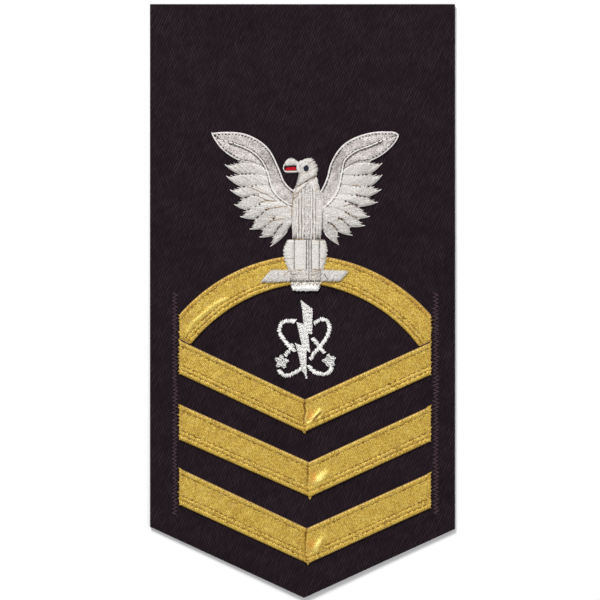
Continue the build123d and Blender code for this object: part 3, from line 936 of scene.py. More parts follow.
def arc(first, middle, last, count):
    """Places along the round arc through three places."""
    (ax, ay), (bx, by), (cx, cy) = first, middle, last
    d = 2 * (ax * (by - cy) + bx * (cy - ay) + cx * (ay - by))
    sa, sb, sc = ax * ax + ay * ay, bx * bx + by * by, cx * cx + cy * cy
    centre = np.array(
        [
            (sa * (by - cy) + sb * (cy - ay) + sc * (ay - by)) / d,
            (sa * (cx - bx) + sb * (ax - cx) + sc * (bx - ax)) / d,
        ]
    )
    reach = np.linalg.norm(np.array(first) - centre)
    angles = [math.atan2(*(np.array(p) - centre)[::-1]) for p in (first, last)]
    turn = np.linspace(angles[0], angles[1], count)
    return centre + reach * np.stack([np.cos(turn), np.sin(turn)], axis=1)


def arch_edge(places):
    """One edge of the arch: a round arc on the left and another on the right."""
    left = arc(*places[:3], ARCH_STATIONS // 2)
    return np.concatenate([left, arc(*places[2:], ARCH_STATIONS // 2)[1:]])


outer, inner = arch_edge(ARCH_OUTER), arch_edge(ARCH_INNER)
middle = (outer + inner) / 2
reach = np.concatenate([[0], np.cumsum(np.linalg.norm(np.diff(middle, axis=0), axis=1))])
span = np.linalg.norm(outer - inner, axis=1)
run = np.broadcast_to(reach, (LACE_ROWS, len(reach)))
width = np.broadcast_to(span, run.shape)
RIDGE = curve([(-37.4, -9.9), (-35.9, -7.7), (-31.5, -3.6), (-27.8, -0.8), (-25.0, 0.6)], 40)
JOINT = np.array([(-40.0, -12.2), (0.8, -31.4), (42.0, -12.7)])


def arch_folds(places):
    """Gentle puckers where the flat lace is eased round the arch, and a ridge at its left foot
    with a painted highlight along it; painted shade along the join with the top chevron, and the
    outer rim darker and warmer from wear.
    """
    turn = np.arctan2(places[..., 1] + 28, places[..., 0] - 0.8)
    inward = np.hypot(places[..., 1] + 28, places[..., 0] - 0.8)
    pucker = 0.05 * np.sin(turn * 37 + np.sin(inward / 2)) + 0.04 * np.sin(turn * 61)
    ridge = bell(away(places, RIDGE), 0.6)
    worn_rim = bell(away(places, outer[::6]) - 0.8, 0.45) * (0.6 + 0.4 * np.sin(turn * 23))
    return (
        pucker * np.clip((40 - inward) / 6, 0, 1) + 0.25 * ridge,
        # Painted highlight on the ridge, painted shade along the join with the top chevron, darker
        # wear along the rim.
        0.7 * ridge - 0.5 * bell(away(places, JOINT), 0.7) - 0.45 * worn_rim,
        0.3 * worn_rim,
    )


ARCH_LEFT, ARCH_RIGHT = -39.8, 41.6
arch = weave(
    "lace_arch",
    outer,
    inner,
    run,
    np.linspace(0, 1, LACE_ROWS)[:, None] * width,
    width,
    arch_folds,
    [
        ((ARCH_LEFT, 0), (ARCH_LEFT, 20), -1),
        ((ARCH_RIGHT, 0), (ARCH_RIGHT, 20), 1),
        ((ARCH_LEFT, -12.3), (0.8, -31.48), 1),
        ((0.8, -31.48), (ARCH_RIGHT, -12.9), 1),
    ],
)
dress(arch, ["rocker_stripe"])


def on_arch(place):
    """Whether a stitch lies on the part of the arch that is left after its ends are cut."""
    x, y = place
    return -39.4 < x < 41.2 and y > -12.0 - 0.472 * min(x + 40, 41.3 - x)


seams = []
for first, last in (((-39.6, -12.4), (-36.6, -13.9)), ((41.4, -13.0), (38.0, -14.6))):
    first, last = np.array(first), np.array(last)
    for at in np.linspace(0, 0.75, 4):
        begin = first * (1 - at) + last * at
        seams.append(dash(begin, begin + (last - first) * 0.2, 2.02))
spur = np.linspace((-5.5, 5.9, 1.9), (-5.0, 4.8, 1.4), stitch.stations)[None]
make_piece(
    "lace_arch_stitches",
    [
        *trim(outer, inner, 3.0, 3.0, on_arch),
        lay(stitch, np.array(seams), 0.13, tan_thread),
        lay(stitch, spur, 0.17, rib_gold),
        end_threads((ARCH_LEFT, -4.6), (ARCH_LEFT, -12.2), -1),
        end_threads((ARCH_RIGHT, -5.2), (ARCH_RIGHT, -12.8), 1),
    ],
)

# ---------------------------------------------------------------- side seams

SEAM_TOP, SEAM_BOTTOM = 2.5, -70
for side_name, x, half_width in (("left", -41.4, 0.95), ("right", 43.3, 1.1)):
    corners = []
    y = SEAM_TOP
    while y > SEAM_BOTTOM:
        corners.append((x - half_width * luck.uniform(0.6, 1.1), y))
        corners.append((x + half_width * luck.uniform(0.6, 1.1), y - 0.62))
        y -= 1.25
    corners = np.array(corners)
    zigzag = between(corners[:-1], corners[1:], stitch.stations)
    arch_of = np.array([0.0, 0.16, 0.16, 0.0]) + CLOTH_TOP + 0.02
    make_piece(
        f"side_zigzag_{side_name}",
        [lay(stitch, lifted(zigzag, arch_of[None]), 0.24, side_thread, squash=0.7)],
        [f"side_stitching_{side_name}"],
    )

# ---------------------------------------------------------------- wings

Wing = namedtuple("Wing", "side leading trailing foot midrib bend")
MIDRIB_TO_FOOT = 5
WINGS = [
    Wing(
        "left",
        [
            (-2.4, 35.3), (-6.1, 38.8), (-7.4, 42.0), (-12.0, 50.2), (-18.2, 53.85), (-25.6, 54.6),
            (-29.3, 54.25),
        ],
        [(-29.3, 54.25), (-26.2, 49.6), (-20.3, 45.7)],
        [(-20.3, 45.7), (-16.1, 45.0), (-11.5, 42.3)],
        [
            (-26.2, 52.1), (-21.0, 50.6), (-16.6, 48.6), (-13.4, 45.8), (-11.5, 42.3),
            (-9.3, 35.6),
            (-3.4, 31.0),
        ],
        (-10.6, 45.2),
    ),
    Wing(
        "right",
        [
            (5.7, 35.0), (8.0, 39.7), (9.2, 44.2), (13.2, 50.4), (20.8, 54.1), (27.2, 54.75),
            (30.4, 54.35), (31.1, 53.75),
        ],
        [(31.1, 53.75), (30.6, 52.6), (27.9, 49.3), (22.1, 45.7)],
        [(22.1, 45.7), (17.4, 44.9), (12.8, 42.0)],
        [
            (28.0, 53.0), (22.6, 50.6), (16.2, 47.9), (13.6, 45.4), (12.8, 42.0), (11.0, 35.0),
            (6.3, 29.9),
        ],
        (11.2, 45.6),
    ),
]
Feather = namedtuple("Feather", "tip notch bend root")
FEATHERS = {
    "left": [
        Feather(None, (-20.0, 45.1), (-16.3, 44.7), (-10.5, 41.4)),
        Feather((-25.15, 44.25), (-20.6, 41.2), (-16.7, 41.2), (-10.6, 40.0)),
        Feather((-24.7, 40.55), (-20.0, 37.0), (-14.1, 37.5), (-9.5, 36.9)),
        Feather((-23.45, 36.05), (-19.3, 33.4), (-15.5, 34.4), (-7.4, 33.2)),
        Feather((-22.1, 31.35), (-18.5, 29.4), (-12.8, 31.8), (-5.2, 31.9)),
        Feather((-20.15, 27.4), (-15.5, 26.4), (-11.7, 29.7), (-3.5, 30.15)),
        Feather((-17.15, 23.35), (-13.1, 23.5), (-8.5, 27.5), (-3.5, 28.45)),
        Feather((-13.9, 20.75), (-9.6, 21.1), (-7.4, 24.3), (-3.5, 26.65)),
        Feather((-10.4, 17.7), (-5.3, 22.1), (-4.4, 23.9), (-3.5, 24.9)),
    ],
    "right": [
        Feather(None, (21.8, 45.1), (17.8, 44.6), (12.0, 41.2)),
        Feather((25.8, 44.7), (21.8, 41.2), (18.0, 40.7), (12.4, 40.6)),
        Feather((25.8, 40.9), (22.4, 37.3), (16.2, 37.2), (11.6, 37.6)),
        Feather((25.5, 36.2), (21.2, 33.7), (17.4, 34.2), (10.2, 34.6)),
        Feather((24.4, 32.1), (18.6, 30.6), (15.9, 31.8), (8.6, 32.6)),
        Feather((21.8, 27.5), (18.3, 26.7), (14.0, 28.8), (6.8, 30.6)),
        Feather((20.2, 24.5), (15.6, 24.0), (12.7, 26.4), (6.6, 28.35)),
        Feather((16.2, 21.3), (11.7, 22.4), (9.7, 24.8), (6.6, 25.85)),
        Feather((11.8, 18.3), (7.7, 21.2), (7.0, 22.4), (6.5, 23.3)),
    ],
}
FEATHER_RISE = 0.85
TIE_STEP = 1.05
CORD, CORD_PITCH = 0.3, 0.44
STRAND = 0.19


def swung(first, last, bow):
    """The middle of a shallow arc between two places, swollen to the left of its way."""
    way = last - first
    return (first + last) / 2 + np.array([-way[1], way[0]]) * bow


def lay_feather(row, above, hand, lean=0.3):
    """One feather: slanted strands from its smooth lower edge to its toothed upper one."""
    tip = np.array(row.tip)
    inward = (np.array(row.notch) - tip) / np.linalg.norm(np.array(row.notch) - tip)
    point = tip + inward * 0.5

    def edge_of(feather, bow):
        """An edge from the root to the point, and how far along it the gap to the next ends."""
        notch, bend = np.array(feather.notch), np.array(feather.bend)
        notch = notch + (bend - notch) / np.linalg.norm(bend - notch) * 0.6
        edge = curve(
            [feather.root, feather.bend, notch, swung(notch, point, bow * hand), point], 90
        )
        return edge, int(np.argmin(np.linalg.norm(edge - notch, axis=1)))

    lower, lower_notch = edge_of(row, 0.055)
    upper, upper_notch = edge_of(above, 0.06)
    lower_seam, upper_seam = lower[: lower_notch + 1], upper[: upper_notch + 1]
    root = np.array([row.root, above.root], float)

    def to_either(spots, one, other):
        """How far spots are from the nearer of two runs."""
        return np.minimum(away(spots, one), away(spots, other))

    def height(spots):
        """The feather's padding, sunk in the valley beside its seam and at its root."""
        fullness = swell(to_either(spots, lower[lower_notch:], upper[upper_notch:]), 1.25)
        inwards = to_either(spots, lower_seam[-2:], upper_seam[-2:])
        valley = bell(to_either(spots, lower_seam, upper_seam), 0.3)
        valley *= np.clip(1 - inwards / 4.6, 0, 1)
        at_root = bell(away(spots, root), 0.7)
        return SEAT + 0.1 + fullness * (FEATHER_RISE - 0.62 * valley - 0.25 * at_root)

    total = (length_of(lower) + length_of(upper)) / 2
    count = int((1 + lean) * total / 0.45)
    step = (np.arange(count) + 0.5) / count
    begin = -lean + (1 + lean) * step
    begin = begin + luck.uniform(-0.15, 0.15, count) * (1 + lean) / count
    root_share = np.clip(-begin / lean, 0, 1)[:, None]
    starts = spread(lower, begin) * (root_share <= 0) + (root_share > 0) * (
        root[0] * (1 - root_share) + root[1] * root_share
    )
    finish_share = np.minimum(1.0, begin + lean)
    ends = spread(upper, finish_share)
    way = ends - starts
    way /= np.linalg.norm(way, axis=1, keepdims=True)
    past_notch = finish_share - upper_notch / (len(upper) - 1)
    teeth = (np.arange(count) % 3) * 0.42 + luck.uniform(-0.3, 0.0, count)
    teeth *= np.clip((1 - finish_share) / 0.1, 0, 1)
    mingled = 0.55 * np.clip((-past_notch * length_of(upper) - 1.6) / 2.5, 0, 1)
    mingled *= luck.uniform(0.2, 1.0, count)
    ends = ends + way * np.where(past_notch > 0, teeth, mingled)[:, None]
    before_notch = lower_notch / (len(lower) - 1) - begin
    tucked = 0.5 * np.clip(
        (before_notch * length_of(lower) - 1.6) / 2.5, 0, 1
    ) * luck.uniform(0, 1, count)
    starts = starts - way * (tucked * (begin > 0))[:, None]
    lines = between(starts, ends, strand.stations, bow=-0.05 * hand)
    slimmer = np.where(finish_share >= 0.999, 0.7, 1.0)[:, None]
    taper = np.linspace(1, 0.8, strand.stations)[None]
    batches = [lay(strand, lifted(lines, height(lines)), STRAND * slimmer * taper, bullion)]

    # Padding cords under the strands
    padding, thick = [], []
    step = np.linspace(0.02, 0.93, strand.stations)
    first, last = spread(lower, step), spread(upper, step)
    gap = np.linalg.norm(last - first, axis=1)
    for share in (0.14, 0.32, 0.5, 0.68, 0.86):
        line = first * (1 - share) + last * share
        padding.append(lifted(line, height(line) - 0.28 - gap * 0.09))
        thick.append(gap * 0.14 + 0.05)
    batches.append(lay(strand, np.array(padding), np.array(thick), bullion))

    # Cord along the free part of the lower edge
    edge = np.concatenate([lower[max(lower_notch - 3, 0) : -2 : 4], [point, tip - inward * 0.1]])
    edge = curve(edge, long_strand.stations)
    share = np.linspace(0, 1, len(edge))
    lift = np.interp(share, [0, 0.15, 0.9, 1], [0.35, 0.3, 0.25, 0.12])
    thin = np.interp(share, [0, 0.75, 1], [1.0, 1.05, 0.85])
    cord = lifted(edge, SEAT + lift)[None]
    batches.append(lay(long_strand, cord, STRAND * thin[None], silver_cord))
    return batches, lower_seam, height


for wing in WINGS:
    left = wing.side == "left"
    hand = 1 if left else -1
    leading, trailing = curve(wing.leading, 160), curve(wing.trailing, 80)
    midrib = curve(wing.midrib, 160)
    name = f"{wing.side}_wing"

    # Couched cord round the wing, with small dark stitches just inside it
    batches = []
    for run in (leading, trailing):
        batches.append(twisted_cord(lifted(run, SEAT + 0.32), CORD, CORD_PITCH, silver_cord))
    ties = []
    for run in (leading, trailing):
        fine = spaced(run, int(length_of(run) / TIE_STEP))
        way, side = ways(fine)
        for at in range(1, len(fine) - 1):
            slip = way[at] * luck.uniform(-0.15, 0.15)
            if run is leading and at < 0.42 * len(fine):
                back, out, reach = 0.5, 0.5, 0.5
            else:
                back, out, reach = 0.25, 0.62, luck.uniform(0.15, 0.4)
            first = fine[at] + side[at] * hand * 0.45 + slip - way[at] * back
            last = fine[at] + side[at] * hand * out + slip + way[at] * reach
            ties.append(dash(first, last, SEAT + np.array([0.86, 0.86, 0.92, 0.92])))
    thick = luck.uniform(0.11, 0.2, (len(ties), 1))
    batches.append(lay(stitch, np.array(ties), thick, dark_thread))
    if left:
        thorn = np.linspace(
            (-28.9, 54.2, SEAT + 0.5), (-29.65, 54.75, SEAT + 0.45), stitch.stations
        )
        batches.append(lay(stitch, thorn[None], [[0.2, 0.18, 0.14, 0.1]], silver_cord))
    make_piece(f"{name}_edge_cords", batches, [f"{name}_edge_cord"])

    # Cord along the midrib, a dark thread on each side of it
    _, side = ways(midrib)
    rise = np.interp(np.linspace(0, 1, len(midrib)), [0, 0.08, 0.9, 1], [0.5, 0.72, 0.78, 0.5])
    batches = [twisted_cord(lifted(midrib, SEAT + rise), 0.3, 0.42, silver_cord)]
    ties, thick = [], []
    for beside, first_at, last_at, step, reach, thickness in (
        (-0.44, 12, 152, 5, 4.6, 0.15), (0.42, 14, 96, 6, 3.6, 0.12), (0.0, 2, 22, 7, 1.6, 0.24),
    ):
        for at in range(first_at, last_at, step):
            thick.append([thickness * luck.uniform(0.8, 1.15)])
            here = min(at + luck.uniform(0, 1.5), len(midrib) - 8)
            share = np.linspace(here, here + reach, stitch.stations) / (len(midrib) - 1)
            line = spread(midrib + side * hand * beside, share) + luck.uniform(-0.05, 0.05, 2)
            ties.append(lifted(line, SEAT + 1.03))
    batches.append(lay(stitch, np.array(ties), np.array(thick), midrib_thread))
    make_piece(f"{name}_midrib_cords", batches, [f"{name}_midrib"])

    # Purl panels, darker at the wing's bend
    upper_outline = np.concatenate([leading, midrib])
    lower_outline = np.concatenate(
        [curve(wing.midrib[:MIDRIB_TO_FOOT], 60), curve(wing.foot, 40)[::-1], trailing[::-1]]
    )
    seam_run = (curve(wing.foot, 60) + curve(FEATHERS[wing.side][0][1:], 60)) / 2
    for panel, outline in (("upper", upper_outline), ("lower", lower_outline)):
        panel_height = padded(outline, SEAT + 0.3, 0.42, 1.1)
        pale = 0.6 if left and panel == "lower" else 0.3

        def panel_shade(spots, bend=wing.bend, pale=pale):
            """Paler chips, but for a dark patch at the wing's bend."""
            near = spots - bend
            return pale - 0.95 * bell(near[:, 0], 2.6) * bell(near[:, 1], 4.2)

        batches = [
            pebbles(outline, 0.36, 0.72, 0.16, panel_height, purl, margin=0.26, shade=panel_shade),
            pebbles(outline, 0.5, 0.8, 0.2, raised(panel_height, -0.16), purl, margin=0.2),
        ]
        if panel == "lower":
            batches.append(twisted_cord(lifted(seam_run, SEAT + 0.36), 0.24, 0.4, silver_cord))
            dots = []
            for at in range(3, 56, 5):
                first = seam_run[at] + luck.uniform(-0.15, 0.15, 2)
                dots.append(dash(first, first + seam_run[at + 3] - seam_run[at], SEAT + 0.85))
            batches.append(lay(stitch, np.array(dots), 0.1, seam_brown))
        make_piece(f"{name}_{panel}_purl", batches, [f"{name}_{panel}_panel"])

    # Feathers, with small dark stitches where each leaves the next, and dark thread inwards from
    # each notch as painted shade in the gap between feathers
    rows = FEATHERS[wing.side]
    for number in range(1, len(rows)):
        batches, seam, height = lay_feather(rows[number], rows[number - 1], hand)
        if number < len(rows) - 1:
            seam = seam[::-1]
            reach = length_of(seam)
            dots = []
            # Dark thread inwards from the notch: painted shade in the gap between two feathers;
            # the thicker dots after it are stitches.
            notch_shade_dashes = [(0.0, 1.1)] if number < 4 else [(0.0, 1.3), (1.5, 2.4), (2.7, 3.4)]
            holes = [(1.5, 1.9), (2.9, 3.3), (4.3, 4.6)] if number < 4 else [(4.0, 4.4)]
            for begin, end in notch_shade_dashes + holes:
                slip = luck.uniform(-0.2, 0.2)
                share = np.linspace(begin + slip, end + slip, stitch.stations) / reach
                line = spread(seam, share) + luck.uniform(-0.08, 0.08, (1, 2))
                dots.append(lifted(line, height(line).max() + 0.3))
            thick = np.array([0.17] * len(notch_shade_dashes) + [0.27, 0.25, 0.17][: len(holes)])[:, None]
            batches.append(lay(stitch, np.array(dots), thick, dark_thread))
        feather = f"{wing.side}_feather_{number}"
        make_piece(f"{feather}_bullion", batches, [feather])

# Tan and brown threads that run from the seams towards the roots of the feathers
SEAM_THREADS = {
    "left": [
        ([(-17.3, 36.9), (-13.8, 35.5), (-10.3, 33.8), (-8.9, 32.9)], seam_brown),
        ([(-16.2, 34.5), (-14.5, 34.1), (-12.0, 32.9), (-8.2, 32.4)], seam_brown),
        ([(-13.4, 31.9), (-11.6, 32.6), (-9.6, 32.2)], tan_thread),
        ([(-12.0, 29.7), (-8.2, 30.4), (-4.7, 30.6)], tan_thread),
        ([(-11.9, 29.4), (-10.6, 30.0), (-8.6, 30.1)], seam_brown),
        ([(-11.0, 25.3), (-9.2, 26.2), (-5.7, 26.6)], tan_thread),
        ([(-9.6, 26.0), (-9.1, 26.9), (-8.7, 27.6)], seam_brown),
        ([(-8.2, 23.7), (-7.6, 24.1), (-6.8, 24.2)], seam_brown),
    ],
    "right": [
        ([(13.2, 30.6), (15.4, 31.3), (18.2, 30.3)], seam_brown),
        ([(13.6, 29.2), (15.4, 27.8), (17.8, 26.9)], seam_brown),
        ([(11.3, 26.0), (12.5, 26.9), (13.6, 26.2)], tan_thread),
        ([(16.1, 37.4), (17.2, 37.5), (18.2, 37.3)], tan_thread),
        ([(9.7, 25.0), (10.3, 24.4), (10.9, 23.5)], seam_brown),
        ([(17.2, 34.6), (18.2, 34.3), (19.4, 34.3)], seam_brown),
    ],
}
for side_name, runs in SEAM_THREADS.items():
    batches = []
    for points, finish in runs:
        line = curve(points, long_strand.stations)
        line = line + luck.uniform(-0.05, 0.05, line.shape)
        batches.append(lay(long_strand, lifted(line, SEAT + 1.13)[None], 0.105, finish))
    make_piece(f"{side_name}_wing_seam_threads", batches)

# ---------------------------------------------------------------- body and head

BODY = np.concatenate(
    [
        curve([(4.6, 40.5), (5.6, 36.2), (6.5, 32.3), (6.5, 26.5), (5.8, 19.75)], 60),
        curve([(-2.9, 19.75), (-3.4, 28.0), (-2.4, 36.6)], 40),
    ]
)
HEAD = np.concatenate(
    [
        curve([(4.55, 40.8), (4.75, 43.6), (2.8, 46.35)], 24),
        curve([(2.8, 46.35), (0.8, 46.0), (-1.2, 45.2)], 16)[1:],
        curve([(-1.3, 43.6), (-1.3, 40.3), (-2.4, 36.9)], 24),
    ]
)
NECK = [(-2.4, 36.75), (1.0, 38.5), (4.5, 40.7)]
body_height = padded(BODY, SEAT + 0.15, 1.3, 2.4)
head_height = padded(HEAD, SEAT + 0.12, 1.1, 1.7)

RIDGE_TOPS = [(-1.65, 33.3), (-0.71, 34.8), (0.23, 36.3), (2.92, 36.9), (3.86, 34.9)]
VALLEY_TOPS = [
    (-1.18, 34.0), (-0.24, 35.4), (0.66, 36.6), (2.5, 37.2), (3.4, 35.6), (4.3, 34.2),
    (-2.1, 32.8),
]
MIDDLE_PANEL = [(0.7, 19.8), (2.5, 19.8), (2.5, 37.4), (1.95, 38.6), (0.7, 36.6)]
SIDE_PANELS = [
    ([(-3.3, 19.75), (-2.05, 19.75), (-2.05, 33.2), (-3.1, 34.2), (-3.5, 28)], 90, 0.32, 0.0),
    (
        [(4.25, 19.75), (5.85, 19.75), (6.5, 26.5), (6.5, 32.3), (6.2, 34.0), (4.3, 34.4)],
        92, 0.33, 0.0,
    ),
    ([(-3.1, 33.5), (-2.05, 33.2), (1.9, 38.7), (4.5, 40.4), (-2.4, 36.6)], 36, 0.33, 0.1),
    (
        [(2.0, 38.8), (2.6, 37.2), (4.3, 34.3), (6.2, 33.8), (5.6, 36.2), (4.6, 40.4)],
        -68, 0.33, 0.1,
    ),
]
batches = []
for x, top in RIDGE_TOPS:
    line = spaced([(x, 19.7), (x, 28), (x, top)], 60)
    line[:, 0] += 0.07 * np.sin(line[:, 1] / 1.3 + x * 5) + 0.05 * np.sin(line[:, 1] / 0.6 + x)
    batches.append(twisted_cord(lifted(line, body_height(line)), 0.46, 0.55, bullion))
batches += [
    laid(BODY, 90, 0.42, 0.25, raised(body_height, -0.26), bullion),
    pebbles(MIDDLE_PANEL, 0.42, 0.7, 0.19, raised(body_height, 0.05), bullion, margin=0.0),
    laid(MIDDLE_PANEL, 90, 0.4, 0.24, raised(body_height, -0.16), bullion),
]
for outline, angle, pitch, overhang in SIDE_PANELS:
    batches.append(laid(outline, angle, pitch, 0.2, body_height, bullion, overhang))
batches += [
    thread_line(NECK, 0.13, body_height, seam_brown, 0.16),
    thread_line([(-3.0, 34.2), (-1.2, 35.3), (0.2, 36.9)], 0.09, body_height, tan_thread, 0.2),
    thread_line([(-3.2, 33.2), (-1.9, 33.9), (-1.2, 34.9)], 0.08, body_height, tan_thread, 0.2),
    thread_line([(4.2, 35.2), (4.7, 36.2), (5.2, 36.6)], 0.09, body_height, tan_thread, 0.2),
    thread_line([(-2.6, 36.4), (-2.9, 34.4), (-3.3, 32.3)], 0.28, level(0.45), bullion),
    # A brown thread down the gap between the left wing and the body: painted shade in the gap.
    thread_line([(-2.85, 35.3), (-3.3, 31.5), (-3.55, 26.8)], 0.16, level(0.75), seam_brown),
    thread_line([(6.6, 33.5), (6.75, 29.0), (6.6, 25.0)], 0.1, level(0.5), tan_thread),
]
# Brown threads down the valleys between the ridges: painted shade in the valleys.
for x, top in VALLEY_TOPS:
    for low in (19.9, 24.6, 29.3):
        high = min(low + luck.uniform(3.4, 4.6), top)
        middle = (x + luck.uniform(-0.12, 0.12), (low + high) / 2 + 0.1)
        valley = [(x + luck.uniform(-0.06, 0.06), low), middle, (x, high)]
        batches.append(thread_line(valley, 0.075, body_height, valley_thread, 0.11))
make_piece("body_bullion", batches, ["body"])

make_piece(
    "head_bullion",
    [
        laid(HEAD, 36, 0.3, 0.2, head_height, bullion, 0.25),
        thread_line([(1.9, 43.9), (2.4, 44.6), (3.0, 45.2)], 0.07, head_height, seam_brown, 0.17),
        thread_line([(-1.0, 40.2), (1.6, 41.8), (4.2, 43.4)], 0.06, head_height, tan_thread, 0.17),
    ],
    ["head"],
)

EYE = (1.2, 43.0)
eye_ring = [
    (EYE[0] + 0.88 * math.cos(a) + 0.12 * math.sin(a), EYE[1] + 1.05 * math.sin(a))
    for a in np.linspace(0, 2 * math.pi, 20)[:-1]
]


def eye_height(spots):
    """The round of the eye's knot."""
    return SEAT + 1.36 + 0.22 * swell(0.8 - np.linalg.norm(spots - EYE, axis=-1), 0.6)


eye = laid(eye_ring, 35, 0.26, 0.17, eye_height, navy_silk)
make_piece("eye_knot", [eye], ["eye"])

BEAK = np.concatenate(
    [
        curve([(-1.4, 45.1), (-3.9, 46.35), (-6.3, 43.4)], 40),
        np.array([(-6.2, 42.5), (-5.8, 43.75), (-1.5, 43.9)]),
    ]
)
CHEEK = [(-2.1, 45.3), (-0.9, 45.0), (-0.9, 41.8), (-1.8, 41.8)]
TONGUE = [(-5.35, 43.15), (-2.1, 43.38), (-2.05, 42.6), (-5.6, 42.25)]
make_piece(
    "beak_upper_bullion",
    [
        laid(BEAK, 78, 0.31, 0.19, padded(BEAK, SEAT + 0.1, 0.85, 0.9), bullion, 0.12),
        laid(CHEEK, 84, 0.3, 0.19, level(0.72), bullion),
        thread_line([(-5.95, 44.0), (-6.12, 43.1), (-6.0, 42.35)], 0.15, level(0.5), silver_cord),
    ],
    ["beak_upper"],
)
make_piece(
    "tongue_silk",
    [
        laid(TONGUE, 5, 0.25, 0.18, level(0.66), red_silk),
        thread_line([(-5.6, 43.42), (-4.0, 43.64), (-2.1, 43.76)], 0.17, level(0.78), dark_thread),
        thread_line([(-1.95, 43.8), (-1.9, 43.2), (-1.95, 42.6)], 0.08, level(0.75), dark_thread),
    ],
    ["tongue"],
)
make_piece(
    "beak_lower_cord",
    [
        thread_line([(-5.9, 42.1), (-3.8, 42.02), (-1.7, 42.05)], 0.27, level(0.42), silver_cord),
        thread_line([(-5.6, 41.72), (-3.8, 41.7), (-1.8, 41.78)], 0.16, level(0.22), bullion),
    ],
    ["beak_lower"],
)

# ---------------------------------------------------------------- legs, perch and foot

Leg = namedtuple("Leg", "name inner_x top_x bulge_x bottom_x seam_x")
LEG_TOP, LEG_BOTTOM = 19.75, 10.1
LEGS = [
    Leg("leg_left", 1.33, -4.5, -5.9, -4.4, -2.65),
    Leg("leg_right", 2.87, 7.0, 7.8, 6.3, 5.5),
]
for leg in LEGS:
    shoulder = leg.bulge_x * 0.7 + leg.top_x * 0.3
    calf = leg.bulge_x * 0.6 + leg.bottom_x * 0.4
    bulge = [(leg.top_x, LEG_TOP), (shoulder, 18.1), (leg.bulge_x, 15.8), (calf, 12.4)]
    bulge = curve([*bulge, (leg.bottom_x, LEG_BOTTOM)], 30)

    def leg_part(x, bulge=bulge):
        """The part of the leg from its bulging side to an upright line."""
        return np.concatenate([bulge, [(x, LEG_BOTTOM), (x, LEG_TOP)]])

    whole = leg_part(leg.inner_x)
    seam = np.array([(leg.seam_x, 20.3), (leg.seam_x, 9.9)])
    rim = closed(whole)

    def leg_height(spots, rim=rim, seam=seam, bulge=bulge):
        """The leg's padding, with a groove down its seam."""
        return (
            SEAT + 0.45
            + 0.75 * swell(away(spots, bulge), 1.8)
            + 0.25 * swell(away(spots, rim), 0.8)
            - 0.3 * bell(away(spots, seam), 0.2)
        )

    inner_part = [
        (leg.seam_x, LEG_BOTTOM), (leg.inner_x, LEG_BOTTOM), (leg.inner_x, LEG_TOP),
        (leg.seam_x, LEG_TOP),
    ]
    outer_x = leg.bulge_x * 0.97
    knee = [(outer_x, 13.75), ((outer_x + leg.seam_x) / 2, 13.8), (leg.seam_x, 13.85)]
    outer_part = leg_part(leg.seam_x + 0.25 * np.sign(leg.top_x))
    batches = [
        laid(outer_part, 0, 0.27, 0.2, leg_height, leg_bullion, 0.42),
        laid(inner_part, 0, 0.27, 0.2, leg_height, leg_bullion, 0.05),
        laid(whole, 90, 0.5, 0.26, raised(leg_height, -0.24), leg_bullion),
        thread_line(knee, 0.06, leg_height, seam_brown, 0.16),
    ]
    for x, thickness in ((leg.seam_x, 0.1), (leg.inner_x, 0.09)):
        line = [(x, 10.3), (x + luck.uniform(-0.04, 0.04), 15), (x, LEG_TOP - 0.1)]
        batches.append(thread_line(line, thickness, leg_height, midrib_thread, 0.13))
    low_x, high_x = sorted((leg.inner_x, leg.top_x))
    for y in (LEG_TOP, LEG_BOTTOM):
        for _ in range(3):
            x = luck.uniform(low_x, high_x - 1.5)
            line = [(x, y), (x + 0.9, y + luck.uniform(-0.15, 0.15)), (x + 1.8, y)]
            batches.append(thread_line(line, 0.1, leg_height, tan_thread, 0.18))
    make_piece(f"{leg.name}_bullion", batches, [leg.name])

batches = []
for x in (1.75, 2.45):
    line = spaced([(x, LEG_TOP, 2.7), (x, 11.2, 2.75), (x, 9.8, 3.06), (x, 6.9, 3.0)], 60)
    batches.append(twisted_cord(line, 0.33, 0.42, bullion))
line = spaced([(2.1, 19.6, 2.86), (2.1, 11.2, 2.9), (2.1, 9.8, 3.2), (2.1, 6.95, 3.12)], 13)
batches.append(lay(long_strand, line[None], 0.1, midrib_thread))
make_piece("centre_strip_cords", batches, ["centre_strips"])

PERCH_ARMS = [
    (
        "perch_left",
        [(-10.1, 10.0), (-4.15, 10.0), (-4.15, 6.5), (-13.6, 6.1)],
        [(-4.4, 9.9), (-5.4, 8.9), (-6.2, 7.9)],
        tan_thread,
    ),
    (
        "perch_right",
        [(6.15, 10.0), (14.9, 9.7), (12.2, 6.5), (6.15, 6.5)],
        [(6.9, 8.8), (7.6, 7.8), (8.3, 6.9)],
        dark_thread,
    ),
]
for name, corners, scratch, finish in PERCH_ARMS:
    arm_height = padded(corners, LACE_SEAT + 0.1, 0.5, 1.1)
    batches = [
        laid(corners, 49, 0.29, 0.18, arm_height, bullion, 0.42),
        pebbles(corners, 0.75, 0.5, 0.12, raised(arm_height, 0.1), bullion, margin=0.3),
        thread_line(scratch, 0.09, arm_height, finish, 0.17),
    ]
    make_piece(f"{name}_bullion", batches, [name])

